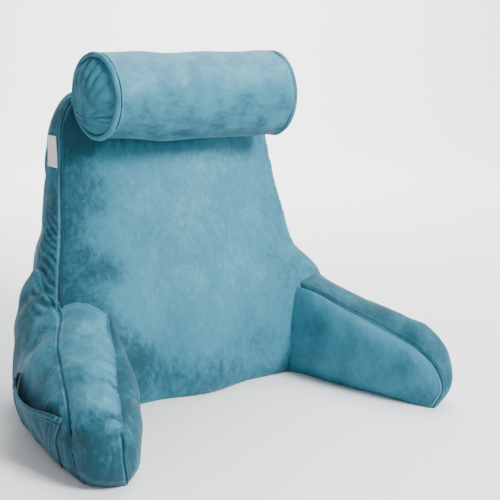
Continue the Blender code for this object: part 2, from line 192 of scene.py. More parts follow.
def write_points(mesh: bpy.types.Mesh, points: Array) -> None:
    """Moves the mesh's vertices to the given rows."""
    mesh.vertices.foreach_set("co", points.astype(np.float32).ravel())
    mesh.update()


def read_normals(mesh: bpy.types.Mesh) -> Array:
    """The mesh's vertex normals as rows."""
    flat = np.empty(len(mesh.vertices) * 3, dtype=np.float32)
    mesh.vertex_normals.foreach_get("vector", flat)
    return flat.reshape(-1, 3).astype(float)


def set_value(mesh: bpy.types.Mesh, name: str, values: Array) -> None:
    """Keeps one number a vertex under a name, for the materials and the shaping.

    Args:
        mesh: the mesh.
        name: the attribute's name.
        values: one a vertex.
    """
    layer = mesh.attributes.get(name)
    if layer is None:
        layer = mesh.attributes.new(name, "FLOAT", "POINT")
    layer.data.foreach_set("value", values.astype(np.float32))


def get_value(mesh: bpy.types.Mesh, name: str) -> Array:
    """The numbers kept under a name, one a vertex."""
    values = np.empty(len(mesh.vertices), dtype=np.float32)
    mesh.attributes[name].data.foreach_get("value", values)
    return values.astype(float)


def apply_modifier(piece: bpy.types.Object, kind: str, **settings: object) -> None:
    """Adds a modifier and applies it.

    Args:
        piece: the object.
        kind: Blender's name for the modifier's type.
        **settings: the modifier's settings.
    """
    bpy.ops.object.select_all(action="DESELECT")
    bpy.context.view_layer.objects.active = piece
    piece.select_set(True)
    modifier = piece.modifiers.new(kind.lower(), kind)
    for key, value in settings.items():
        setattr(modifier, key, value)
    bpy.ops.object.modifier_apply(modifier=modifier.name)


def denser_at_seams(share: Array, pull: float = 0.45) -> Array:
    """Moves evenly spaced shares 0..1 towards both ends, where the seams are."""
    return share - pull * np.sin(math.tau * share) / math.tau


def cut_cube(name: str, cells: tuple[int, int, int]) -> tuple[bpy.types.Mesh, Array]:
    """A cube of side 1, cut into cells, as a mesh, with its points as shares 0..1.

    Args:
        name: the mesh's name.
        cells: how many cells along X, Y and Z.

    Returns:
        The mesh, and its points with the cells drawn closer together at the cube's edges.
    """
    cage = bmesh.new()
    bmesh.ops.create_cube(cage, size=1.0)
    bmesh.ops.translate(cage, verts=cage.verts, vec=(0.5, 0.5, 0.5))
    for axis, count in enumerate(cells):
        parallel = []
        for edge in cage.edges:
            span = edge.verts[1].co - edge.verts[0].co
            if abs(span[axis]) > 0.5:
                parallel.append(edge)
        bmesh.ops.subdivide_edges(cage, edges=parallel, cuts=count - 1, use_grid_fill=True)
    mesh = bpy.data.meshes.new(name)
    cage.to_mesh(mesh)
    cage.free()
    return mesh, denser_at_seams(read_points(mesh))


def face_out(mesh: bpy.types.Mesh) -> None:
    """Turns every face of a closed mesh outwards.

    Args:
        mesh: the mesh, changed in place.
    """
    shell = bmesh.new()
    shell.from_mesh(mesh)
    bmesh.ops.recalc_face_normals(shell, faces=shell.faces)
    shell.to_mesh(mesh)
    shell.free()


def as_piece(name: str, mesh: bpy.types.Mesh) -> bpy.types.Object:
    """Puts a mesh in the scene under a name, shaded smooth.

    Args:
        name: the object's name.
        mesh: its mesh.

    Returns:
        The object.
    """
    piece = bpy.data.objects.new(name, mesh)
    bpy.context.scene.collection.objects.link(piece)
    mesh.shade_smooth()
    return piece


def tree_of(mesh: bpy.types.Mesh) -> BVHTree:
    """A search tree over a mesh's faces."""
    return BVHTree.FromPolygons(
        [vert.co for vert in mesh.vertices], [tuple(face.vertices) for face in mesh.polygons]
    )


def laid_on(tree: BVHTree, points: Array, outward: Array, height: Array) -> Array:
    """Lays points at a height over a cover.

    Args:
        tree: the cover's search tree.
        points: rows near the cover.
        outward: the way out at each point.
        height: how far over the cover each comes.

    Returns:
        Rows over the cover.
    """
    laid = np.empty_like(points)
    for index, (point, way) in enumerate(zip(points, outward)):
        found = tree.ray_cast(Vector(point + 0.03 * way), Vector(-way), 0.06)[0]
        if found is None:
            found = tree.find_nearest(Vector(point))[0]
        laid[index] = np.array(found) + height[index] * way
    return laid


def seam_measure(points: Array, line: Array) -> tuple[Array, Array]:
    """Measures points against a seam.

    Args:
        points: rows of coordinates.
        line: the seam as closely spaced points.

    Returns:
        Each point's distance from the seam, and how far along the seam its nearest place is.
    """
    tree = KDTree(len(line))
    for index, place in enumerate(line):
        tree.insert(place, index)
    tree.balance()
    nearest = np.array([tree.find(point)[1] for point in points])
    steps = np.linalg.norm(np.diff(line, axis=0), axis=1)
    length = np.concatenate(([0.0], np.cumsum(steps)))
    best = np.full(len(points), np.inf)
    run = np.zeros(len(points))
    for offset in (-1, 0):
        first = np.clip(nearest + offset, 0, len(line) - 2)
        span = line[first + 1] - line[first]
        size = np.maximum((span ** 2).sum(axis=1), 1e-12)
        share = np.clip(((points - line[first]) * span).sum(axis=1) / size, 0.0, 1.0)
        away = np.linalg.norm(points - line[first] - span * share[:, None], axis=1)
        closer = away < best
        best[closer] = away[closer]
        run[closer] = (length[first] + share * steps[first])[closer]
    return best, run


# ------------------------------------------------------------------ cloth
@dataclass(frozen=True)
class ClothRelax:
    """How a cover is relaxed between its seams, and how much of the result is kept."""

    mass: float = 0.3
    stiffness: float = 12.0
    shear: float = 4.0
    bending: float = 0.6
    pressure: float = 3.5
    slack: float = 0.035
    frames: int = 18
    # The most that a fold moves, in metres.
    cap: float = 0.0042
    smoothing: int = 36
    keep_swell: float = 0.15

    def wrinkles(self, mesh: bpy.types.Mesh, pinned: Array) -> Array:
        """Runs the cloth and returns what it adds to the shape.

        Args:
            mesh: the closed cover.
            pinned: per vertex, 1 where it is sewn or lies on the floor.

        Returns:
            One movement a vertex: the folds of the cloth without most of its even swelling.
        """
        rest = read_points(mesh)
        cover = as_piece("cover_in_work", mesh.copy())
        group = cover.vertex_groups.new(name="sewn")
        group.add(np.flatnonzero(pinned > 0.5).tolist(), 1.0, "REPLACE")
        modifier = cover.modifiers.new("cloth", "CLOTH")
        cloth = modifier.settings
        cloth.quality = 5
        cloth.mass = self.mass
        cloth.tension_stiffness = self.stiffness
        cloth.compression_stiffness = self.stiffness
        cloth.shear_stiffness = self.shear
        cloth.bending_stiffness = self.bending
        cloth.use_pressure = True
        cloth.uniform_pressure_force = self.pressure
        cloth.shrink_min = -self.slack
        cloth.vertex_group_mass = group.name
        cloth.effector_weights.gravity = 0.0
        modifier.collision_settings.use_collision = False
        modifier.point_cache.frame_start = 1
        modifier.point_cache.frame_end = self.frames
        for number in range(1, self.frames + 1):
            bpy.context.scene.frame_set(number)
        shaped = cover.evaluated_get(bpy.context.evaluated_depsgraph_get()).to_mesh()
        moved = read_points(shaped) - rest
        cover.modifiers.clear()
        worked = cover.data
        bpy.data.objects.remove(cover)
        bpy.data.meshes.remove(worked)
        bpy.context.scene.frame_set(1)
        even = self.spread(mesh, moved)
        folds = moved - even * (1.0 - self.keep_swell)
        size = np.linalg.norm(folds, axis=1, keepdims=True)
        return folds * self.cap / (self.cap + size)

    def spread(self, mesh: bpy.types.Mesh, values: Array) -> Array:
        """Evens out values over the mesh, by averaging neighbours again and again.

        Args:
            mesh: the mesh.
            values: rows, one a vertex.

        Returns:
            The evened rows.
        """
        pairs = np.empty(len(mesh.edges) * 2, dtype=np.int32)
        mesh.edges.foreach_get("vertices", pairs)
        pairs = pairs.reshape(-1, 2)
        count = np.bincount(pairs.ravel(), minlength=len(values))[:, None]
        even = values.copy()
        for _ in range(self.smoothing):
            total = np.zeros_like(even)
            np.add.at(total, pairs[:, 0], even[pairs[:, 1]])
            np.add.at(total, pairs[:, 1], even[pairs[:, 0]])
            even = 0.5 * even + 0.5 * total / count
        return even


# ------------------------------------------------------------------ finishes
class NodeMaker:
    """Adds nodes to one node tree, each fed with sockets or plain numbers."""

    def __init__(self, tree: bpy.types.NodeTree) -> None:
        """Keeps the tree."""
        self.tree = tree

    def feed(self, place: bpy.types.NodeSocket, value: object) -> None:
        """Links a socket into an input, or sets the input to a number or a colour.

        Args:
            place: the input.
            value: a socket, a number or a colour.
        """
        if isinstance(value, bpy.types.NodeSocket):
            self.tree.links.new(value, place)
        else:
            place.default_value = value

    def maths(self, operation: str, *values: object) -> bpy.types.NodeSocket:
        """Adds a Math node.

        Args:
            operation: Blender's name for it.
            *values: sockets or numbers.

        Returns:
            The node's output socket.
        """
        node = self.tree.nodes.new("ShaderNodeMath")
        node.operation = operation
        for place, value in zip(node.inputs, values):
            self.feed(place, value)
        return node.outputs[0]

    def total(self, *values: object) -> bpy.types.NodeSocket:
        """The sum of sockets or numbers.

        Args:
            *values: sockets or numbers.

        Returns:
            The sum's socket.
        """
        summed = values[0]
        for value in values[1:]:
            summed = self.maths("ADD", summed, value)
        return summed

    def times(self, first: object, second: object) -> bpy.types.NodeSocket:
        """The product of two sockets or numbers."""
        return self.maths("MULTIPLY", first, second)

    def away(self, value: object, place: float) -> bpy.types.NodeSocket:
        """How far a value is from a place."""
        return self.maths("ABSOLUTE", self.maths("SUBTRACT", value, place))

    def ramp(
        self, value: bpy.types.NodeSocket, low: float, high: float, start: float, end: float
    ) -> bpy.types.NodeSocket:
        """Maps a value from low..high to start..end, smoothly and clamped, and returns it.

        Args:
            value: what is mapped.
            low: where it starts.
            high: where it ends; may be the smaller.
            start: the result at low.
            end: the result at high.

        Returns:
            The result's socket.
        """
        node = self.tree.nodes.new("ShaderNodeMapRange")
        node.interpolation_type = "SMOOTHSTEP"
        given = {"Value": value, "From Min": low, "From Max": high, "To Min": start, "To Max": end}
        for name, number in given.items():
            self.feed(node.inputs[name], number)
        return node.outputs["Result"]

    def noise(
        self, vector: bpy.types.NodeSocket, scale: float, detail: float, warp: float
    ) -> bpy.types.NodeSocket:
        """Adds a Noise Texture and returns its value, 0 to 1.

        Args:
            vector: the coordinates.
            scale: swells a metre, roughly.
            detail: how many finer layers.
            warp: how far it is distorted.

        Returns:
            The noise's socket.
        """
        node = self.tree.nodes.new("ShaderNodeTexNoise")
        given = {"Vector": vector, "Scale": scale, "Detail": detail, "Distortion": warp}
        for name, value in given.items():
            self.feed(node.inputs[name], value)
        node.inputs["Roughness"].default_value = 0.55
        return node.outputs["Fac"]

    def mix(self, share: object, first: object, second: object) -> bpy.types.NodeSocket:
        """Mixes two colours by a share 0..1 and returns the mixture.

        Args:
            share: 0 for the first, 1 for the second.
            first: a colour.
            second: a colour.

        Returns:
            The mixture's socket.
        """
        node = self.tree.nodes.new("ShaderNodeMix")
        node.data_type = "RGBA"
        for name, value in (("Factor", share), ("A", first), ("B", second)):
            self.feed(node.inputs[name], value)
        return node.outputs["Result"]


@dataclass(frozen=True)
class VelvetFinish:
    """Short-pile velvet: three colours that its nap and its painted light and shade mix between,
    and how marked and how glossy it is.
    """

    name: str
    dark: tuple[float, float, float] = (0.008, 0.058, 0.084)
    middle: tuple[float, float, float] = (0.033, 0.176, 0.250)
    light: tuple[float, float, float] = (0.098, 0.304, 0.402)
    marks: float = 0.30
    streaks: float = 0.26
    stretch: tuple[float, float, float] = (1.0, 1.0, 0.45)
    tilt: tuple[float, float, float] = (0.0, 0.0, 0.0)
    sheen: float = 0.22

    def build(self) -> bpy.types.Material:
        """Makes the material.

        Returns:
            A Principled material that reads the piece's nap with its painted light and shade, and
            its seam values.
        """
        made = bpy.data.materials.new(self.name)
        made.use_nodes = True
        tree = made.node_tree
        nodes = NodeMaker(tree)
        shader = tree.nodes["Principled BSDF"]
        shader.inputs["Sheen Weight"].default_value = self.sheen
        shader.inputs["Sheen Roughness"].default_value = 0.38
        shader.inputs["Sheen Tint"].default_value = (0.55, 0.86, 1.0, 1.0)
        shader.inputs["Specular IOR Level"].default_value = 0.22
        place = tree.nodes.new("ShaderNodeTexCoord").outputs["Object"]
        turned = tree.nodes.new("ShaderNodeMapping")
        turned.inputs["Rotation"].default_value = tuple(math.radians(a) for a in self.tilt)
        turned.inputs["Scale"].default_value = self.stretch
        nodes.feed(turned.inputs["Vector"], place)
        pile = tree.nodes.new("ShaderNodeGroup")
        pile.node_tree = pile_group()
        given = {
            "Dark": (*self.dark, 1.0),
            "Middle": (*self.middle, 1.0),
            "Light": (*self.light, 1.0),
            "Marks": self.marks,
            "Streaks": self.streaks,
            "Brushed": turned.outputs["Vector"],
            "Place": place,
        }
        for name in ("nap", "seam", "run", "stitched"):
            kept = tree.nodes.new("ShaderNodeAttribute")
            kept.attribute_name = name
            given[name.capitalize()] = kept.outputs["Fac"]
        for name, value in given.items():
            nodes.feed(pile.inputs[name], value)
        bump = tree.nodes.new("ShaderNodeBump")
        bump.inputs["Strength"].default_value = 1.0
        bump.inputs["Distance"].default_value = 1.0
        nodes.feed(bump.inputs["Height"], pile.outputs["Height"])
        nodes.feed(shader.inputs["Base Color"], pile.outputs["Color"])
        nodes.feed(shader.inputs["Roughness"], pile.outputs["Roughness"])
        nodes.feed(shader.inputs["Normal"], bump.outputs["Normal"])
        return made


def pile_group() -> bpy.types.NodeTree:
    """The velvet pile, built once and shared: nap with its painted light and shade, brush marks,
    seams with painted shade in their grooves and a painted highlight on their lips, and stitches.

    Returns:
        A node group that puts out a colour, a roughness and a height in metres.
    """
    name = "velvet_pile"
    if name in bpy.data.node_groups:
        return bpy.data.node_groups[name]
    tree = bpy.data.node_groups.new(name, "ShaderNodeTree")
    # Columns: way, kind, labels.
    table = (
        ("INPUT", "NodeSocketColor", ("Dark", "Middle", "Light")),
        ("INPUT", "NodeSocketVector", ("Brushed", "Place")),
        ("INPUT", "NodeSocketFloat", ("Nap", "Seam", "Run", "Stitched", "Marks", "Streaks")),
        ("OUTPUT", "NodeSocketColor", ("Color",)),
        ("OUTPUT", "NodeSocketFloat", ("Roughness", "Height")),
    )
    for way, kind, labels in table:
        for label in labels:
            tree.interface.new_socket(name=label, in_out=way, socket_type=kind)
    given = tree.nodes.new("NodeGroupInput").outputs
    out = tree.nodes.new("NodeGroupOutput").inputs
    nodes = NodeMaker(tree)

    patches = nodes.noise(given["Brushed"], 34.0, 3.0, 0.8)
    strokes = nodes.noise(given["Brushed"], 120.0, 3.0, 0.6)
    fibres = nodes.noise(given["Place"], 620.0, 2.0, 0.0)
    marks = nodes.times(nodes.ramp(patches, 0.34, 0.66, -0.5, 0.5), given["Marks"])
    streaks = nodes.times(nodes.ramp(strokes, 0.30, 0.70, -0.5, 0.5), given["Streaks"])
    fluff = nodes.times(nodes.maths("SUBTRACT", fibres, 0.5), 0.10)
    nap = nodes.total(given["Nap"], marks, streaks, fluff)
    # The nap value, which also carries each piece's painted light and shade, mixes the dark, middle
    # and light colours.
    shade = nodes.mix(nodes.ramp(nap, 0.0, 0.5, 0.0, 1.0), given["Dark"], given["Middle"])
    shade = nodes.mix(nodes.ramp(nap, 0.45, 1.0, 0.0, 1.0), shade, given["Light"])

    # Painted shade in each seam's groove and a painted highlight on the lip beside it; the stitch
    # rows are darker marks of their own.
    groove = nodes.ramp(given["Seam"], 0.0004, 0.0022, 1.0, 0.0)
    lip = nodes.ramp(nodes.away(given["Seam"], 0.0038), 0.0003, 0.0018, 1.0, 0.0)
    row = nodes.ramp(nodes.away(given["Seam"], 0.0078), 0.0004, 0.0013, 1.0, 0.0)
    beat = nodes.maths("FRACT", nodes.times(given["Run"], 1.0 / STITCH_LENGTH))
    thread = nodes.ramp(nodes.away(beat, 0.5), 0.30, 0.42, 1.0, 0.35)
    stitches = nodes.times(nodes.times(row, thread), given["Stitched"])
    # Painted highlight on the seam's lip.
    shade = nodes.mix(nodes.times(lip, 0.26), shade, given["Light"])
    # Painted shade in the seam's groove, with the stitches' own darker marks.
    dip = nodes.total(nodes.times(groove, 0.75), nodes.times(stitches, 0.20))
    nodes.feed(out["Color"], nodes.mix(dip, shade, given["Dark"]))
    nodes.feed(out["Roughness"], nodes.ramp(nap, 0.2, 0.9, 0.78, 0.60))

    swells = nodes.total(nodes.times(patches, 0.0011), nodes.times(strokes, 0.00055))
    raised = nodes.total(swells, nodes.times(fibres, 0.00012))
    sunk = nodes.total(nodes.times(groove, 0.0011), nodes.times(stitches, 0.0006))
    nodes.feed(out["Height"], nodes.maths("SUBTRACT", raised, sunk))
    return tree


@dataclass(frozen=True)
class WovenFinish:
    """Smooth white woven tape."""

    name: str = "label_tape"
    colour: tuple[float, float, float, float] = (0.80, 0.79, 0.78, 1.0)

    def build(self) -> bpy.types.Material:
        """Makes the material, with a fine weave across it.

        Returns:
            A Principled material with a bumped weave.
        """
        made = bpy.data.materials.new(self.name)
        made.use_nodes = True
        tree = made.node_tree
        shader = tree.nodes["Principled BSDF"]
        shader.inputs["Base Color"].default_value = self.colour
        shader.inputs["Roughness"].default_value = 0.55
        place = tree.nodes.new("ShaderNodeTexCoord")
        weave = tree.nodes.new("ShaderNodeTexWave")
        weave.bands_direction = "Z"
        weave.inputs["Scale"].default_value = 320.0
        bump = tree.nodes.new("ShaderNodeBump")
        bump.inputs["Strength"].default_value = 0.5
        bump.inputs["Distance"].default_value = 0.0002
        tree.links.new(place.outputs["Object"], weave.inputs["Vector"])
        tree.links.new(weave.outputs["Fac"], bump.inputs["Height"])
        tree.links.new(bump.outputs["Normal"], shader.inputs["Normal"])
        return made


def mark_cover(
    mesh: bpy.types.Mesh,
    nap: Array,
    seam: Array | float = FAR_FROM_SEAM,
    run: Array | float = 0.0,
    stitched: Array | float = 0.0,
) -> None:
    """Writes what the velvet reads at each vertex.

    Args:
        mesh: the mesh.
        nap: how the nap lies, with the painted light and shade laid over it, from 0 dark to 1
            light.
        seam: the distance from the nearest seam.
        run: the place along that seam.
        stitched: 1 where a row of stitches shows beside the seam.
    """
    # The nap values carry painted light and shade as well as the nap itself.
    for name, values in (("nap", nap), ("seam", seam), ("run", run), ("stitched", stitched)):
        set_value(mesh, name, np.broadcast_to(values, len(mesh.vertices)))


def dress(
    piece: bpy.types.Object, finish: VelvetFinish | WovenFinish, node: str
) -> None:
    """Gives a piece its material, sets it on the root body and hides the CAD node it replaces.

    Args:
        piece: the finished piece.
        finish: its finish.
        node: the CAD node it replaces.
    """
    piece.data.materials.append(finish.build())
    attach(piece, "root")
    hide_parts(node)
    LOG.info("%s: %d faces", piece.name, len(piece.data.polygons))


# ------------------------------------------------------------------ boxed cushions
class BoxedSurface:
    """Two crowned panels, A and B, and the strip between their rims, standing on the floor."""

    def __init__(
        self,
        rims: tuple[Array, Array],
        corners: tuple[tuple[int, int], tuple[int, int]],
        bases: tuple[Array, Array],
        crowns: tuple[float, float],
        strip_crown: Callable[[Array], Array],
        fullness: tuple[Fullness, Fullness],
        carry: float,
    ) -> None:
        """Keeps the curves.

        Args:
            rims: both seams, as rows from the floor over the top to the floor.
            corners: for each rim, the rows where it turns onto and off the top.
            bases: both floor lines, as rows of x and y.
            crowns: how far each panel swells.
            strip_crown: how far the strip swells along its run.
            fullness: for each panel, power and skew of its swelling, along and up.
            carry: how far the bends of the side seams reach the panels' middle.
        """
        self.rims = []
        self.corners = []
        for points, rows in zip(rims, corners):
            rim, knots = smooth_path(points)
            self.rims.append(rim)
            self.corners.append((knots[rows[0]], knots[rows[1]]))
        self.bases = []
        for points in bases:
            flat = [(x, y, 0.0) for x, y in points]
            self.bases.append(smooth_path(np.array(flat))[0])
        self.crowns = crowns
        self.strip_crown = strip_crown
        self.fullness = fullness
        self.carry = carry
        self.turns = self.outward_turns()

    def outward_turns(self) -> list[float]:
        """+1 or -1 for panel A, panel B and the strip: the way their crowns swell outwards.

        Returns:
            Three signs.
        """
        share = np.linspace(0.1, 0.9, 17)
        middle = np.full_like(share, 0.5)
        across = self.patch(1, share, middle) - self.patch(0, share, middle)
        turns = []
        for side, away in ((0, -across), (1, across)):
            normals = normals_of(lambda u, v, side=side: self.patch(side, u, v), share, middle)
            turns.append(math.copysign(1.0, float(np.sum(normals * away))))
        core = 0.5 * (self.patch(0, middle, middle) + self.patch(1, middle, middle))
        away = self.ruled_strip(share, middle) - core
        normals = normals_of(self.ruled_strip, share, middle)
        turns.append(math.copysign(1.0, float(np.sum(normals * away))))
        return turns

    def patch(self, side: int, along: Array, up: Array) -> Array:
        """Panel side 0 or 1 without its crown, between its rim and its floor line.

        Args:
            side: 0 or 1.
            along: shares from rear to front, or from left to right.
            up: shares from the floor up.

        Returns:
            One point a row.
        """
        rim = self.rims[side]
        first, second = self.corners[side]
        a = along[:, None]
        c = up[:, None]
        one = np.ones_like(along)
        rear = rim(up * first) - (1.0 - c) * rim(one * 0.0) - c * rim(one * first)
        front = rim(1.0 - up * (1.0 - second)) - (1.0 - c) * rim(one) - c * rim(one * second)
        top = rim(first + along * (second - first))
        foot = self.bases[side](along)
        fade = 1.0 - 4.0 * a * (1.0 - a) * (1.0 - self.carry)
        return (1.0 - c) * foot + c * top + fade * ((1.0 - a) * rear + a * front)

    def panel(self, side: int, along: Array, up: Array) -> Array:
        """Panel side 0 or 1 with its crown.

        Args:
            side: 0 or 1.
            along: shares from rear to front, or from left to right.
            up: shares from the floor up.

        Returns:
            One point a row.
        """
        def bare(u: Array, v: Array) -> Array:
            """The panel without its crown."""
            return self.patch(side, u, v)
        inset = np.clip(along, 0.002, 0.998), np.clip(up, 0.002, 0.998)
        outward = normals_of(bare, *inset) * self.turns[side]
        by_length, by_height = self.fullness[side]
        height = self.crowns[side] * swell(along, *by_length) * swell(up, *by_height)
        return bare(along, up) + outward * height[:, None]

    def seam_line(self, side: int) -> Array:
        """Seam A or B as closely spaced points in the frame."""
        return self.rims[side](np.linspace(0.0, 1.0, 900)) + SHIFT

    def rim_share(self, side: int, run: Array) -> Array:
        """Maps a run 0..1 along the strip to a rim, so that the corners fall together."""
        first, second = self.corners[side]
        mean_first, mean_second = self.mean_corners()
        return np.interp(run, (0.0, mean_first, mean_second, 1.0), (0.0, first, second, 1.0))

    def mean_corners(self) -> tuple[float, float]:
        """The run at which the strip turns onto the top, and off it."""
        first = 0.5 * (self.corners[0][0] + self.corners[1][0])
        second = 0.5 * (self.corners[0][1] + self.corners[1][1])
        return first, second

    def ruled_strip(self, run: Array, across: Array) -> Array:
        """The strip without its crown."""
        near = self.rims[0](self.rim_share(0, run))
        far = self.rims[1](self.rim_share(1, run))
        return near + (far - near) * across[:, None]

    def strip(self, run: Array, across: Array) -> Array:
        """The strip, at a share of its run from floor to floor and of its width from A to B.

        Args:
            run: shares of the run.
            across: shares of the width.

        Returns:
            One point a row.
        """
        inset = np.clip(run, 0.002, 0.998)
        outward = normals_of(self.ruled_strip, inset, across) * self.turns[2]
        height = self.strip_crown(run) * swell(across)
        return self.ruled_strip(run, across) + outward * height[:, None]

    def place(self, grid: Array) -> tuple[Array, Array]:
        """Maps points on the faces of a unit cube to the cushion.

        Args:
            grid: rows of shares along, across and up.

        Returns:
            The points, and 1 for those on the strip.
        """
        along, across, up = grid.T
        first, second = self.mean_corners()
        at_foot = up < TINY
        on_top = up > 1.0 - TINY
        at_end = (along < TINY) | (along > 1.0 - TINY)
        run = np.where(along < TINY, up * first, 1.0 - up * (1.0 - second))
        run = np.where(on_top, first + along * (second - first), run)
        base_a = self.bases[0](along)
        base_b = self.bases[1](along)
        points = base_a + (base_b - base_a) * across[:, None]
        for side in (0, 1):
            here = (np.abs(across - side) < TINY) & ~at_foot
            points[here] = self.panel(side, along[here], up[here])
        on_strip = (on_top | at_end) & ~at_foot
        points[on_strip] = self.strip(run[on_strip], across[on_strip])
        points[:, 2] = np.maximum(points[:, 2], 0.0)
        points[at_foot, 2] = 0.0
        return points, on_strip.astype(float)


@dataclass
class Shaping:
    """What a cushion's shaping reads: places, outward normals and the sewing."""

    points: Array
    normals: Array
    grid: Array
    on_strip: Array
    seams: list[tuple[Array, Array]]


@dataclass(frozen=True)
class SeamRelief:
    """The groove that a seam sinks into the velvet, and the lip on each side of it."""

    groove: float = 0.0034
    groove_width: float = 0.0036
    lip: float = 0.0012
    lip_place: float = 0.0062
    lip_width: float = 0.0030

    def height(self, distance: Array) -> Array:
        """Heights over the cover at distances from the seam."""
        raised = self.lip * bell(distance, self.lip_place, self.lip_width)
        return raised - self.groove * bell(distance, 0.0, self.groove_width)


class StuffedCushion:
    """A boxed cushion's velvet cover: placed, relaxed as cloth, and shaped along its seams."""

    name: str = "cushion"
    node: str = "cushion"
    fill: float = 0.8
    give: float = 1.0
    cells: tuple[int, int, int] = (60, 20, 40)

    def surface(self) -> BoxedSurface:
        """The cushion's surface; each cushion gives its own."""
        raise NotImplementedError

    def relief(self, facts: Shaping) -> Array:
        """Heights to add along the normals: folds, gathers and dents."""
        return np.zeros(len(facts.points))

    def seam_shows(self, facts: Shaping) -> Array:
        """1 where the seams show and 0 where the cover runs on smoothly."""
        return np.ones(len(facts.points))

    def nap(self, facts: Shaping) -> Array:
        """How the nap lies, with any painted light and shade, from 0 dark to 1 light."""
        return np.full(len(facts.points), 0.5)

    def finish(self) -> VelvetFinish:
        """The cushion's velvet."""
        return VelvetFinish(self.name)

    @staticmethod
    def held(grid: Array) -> Array:
        """1 where the cover is sewn or lies on the floor, for the cloth, and 0 elsewhere."""
        low, high = (grid < TINY).T, (grid > 1.0 - TINY).T
        sewn = (high[2] | low[0] | high[0]) & (low[1] | high[1])
        return (sewn | low[2]).astype(float)

    def cover(self) -> bpy.types.Object:
        """Builds the cover.

        Returns:
            The finished piece, riding on the frame.
        """
        surface = self.surface()
        mesh, grid = cut_cube(self.name, self.cells)
        points, on_strip = surface.place(grid)
        write_points(mesh, points + SHIFT)
        face_out(mesh)
        folds = ClothRelax().wrinkles(mesh, self.held(grid))
        write_points(mesh, read_points(mesh) + self.give * folds)
        for label, values in zip(SHARES, grid.T):
            set_value(mesh, label, values)
        set_value(mesh, "strip", on_strip)
        piece = as_piece(self.name, mesh)
        apply_modifier(piece, "SUBSURF", levels=1, render_levels=1)
        self.shape(piece, surface)
        dress(piece, self.finish(), self.node)
        return piece

    def shape(self, piece: bpy.types.Object, surface: BoxedSurface) -> None:
        """Adds the relief and the seam grooves, and writes what the velvet reads.

        Args:
            piece: the relaxed and subdivided cover.
            surface: the surface it follows.
        """
        mesh = piece.data
        points = read_points(mesh)
        grid = np.stack([get_value(mesh, label) for label in SHARES], axis=1)
        seams = [seam_measure(points, surface.seam_line(side)) for side in (0, 1)]
        facts = Shaping(points, read_normals(mesh), grid, get_value(mesh, "strip") > 0.5, seams)
        (away_a, run_a), (away_b, run_b) = seams
        distance = np.minimum(away_a, away_b)
        above = smooth_step(points[:, 2], 0.0, 0.02)
        sewn = self.seam_shows(facts)
        height = (self.relief(facts) + SeamRelief().height(distance) * sewn) * above
        moved = points + facts.normals * height[:, None]
        moved[:, 2] = np.maximum(moved[:, 2], 0.0)
        moved[points[:, 2] < 1e-5, 2] = 0.0
        write_points(mesh, moved)
        mark_cover(
            mesh,
            nap=self.nap(facts),
            seam=np.where(sewn > 0.4, distance, FAR_FROM_SEAM),
            run=np.where(away_a < away_b, run_a, run_b),
            stitched=~facts.on_strip,
        )
        for label in (*SHARES, "strip"):
            mesh.attributes.remove(mesh.attributes[label])


def seam_puckers(distance: Array, run: Array, spacing: float, reach: float, seed: int) -> Array:
    """Small folds that stand square to a seam and fade with distance from it.

    Args:
        distance: from the seam.
        run: along the seam.
        spacing: from fold to fold.
        reach: how far from the seam they last.
        seed: picks the pattern.

    Returns:
        Heights, about -1 to 1.
    """
    place = np.stack([run, np.zeros_like(run)], axis=1)
    wander = soft_noise(place, spacing * 7.0, seed)
    strength = 0.5 + 0.5 * soft_noise(place, spacing * 5.0, seed + 1)
    folds = np.cos(math.tau * run / spacing + 2.2 * wander)
    near = np.exp(-distance / reach) * smooth_step(distance, 0.0, 0.004)
    return folds * near * np.clip(strength, 0.0, 1.6)


def shoulder_gathers(points: Array, away: Array) -> Array:
    """Folds that fan out from the back's front seam over the side strip and the arm's shoulder.

    Args:
        points: rows in the frame.
        away: each point's distance from the front seam of the back.

    Returns:
        Heights, about -1 to 1, gone outside the gathered part.
    """
    reach = smooth_step(away, 0.003, 0.012) * smooth_step(away, 0.075, 0.030)
    level = smooth_step(points[:, 2], 0.170, 0.215) * smooth_step(points[:, 2], 0.400, 0.300)
    slope = 0.30 + 0.45 * smooth_step(points[:, 2], 0.22, 0.34)
    rise = points[:, 2] - slope * away + 0.004 * soft_noise(points, 0.09, 5)
    folds = np.cos(math.tau * rise / 0.0165)
    uneven = 0.75 + 0.35 * soft_noise(points, 0.06, 6)
    return (np.abs(0.5 + 0.5 * folds) ** 1.3 - 0.4) * reach * level * uneven


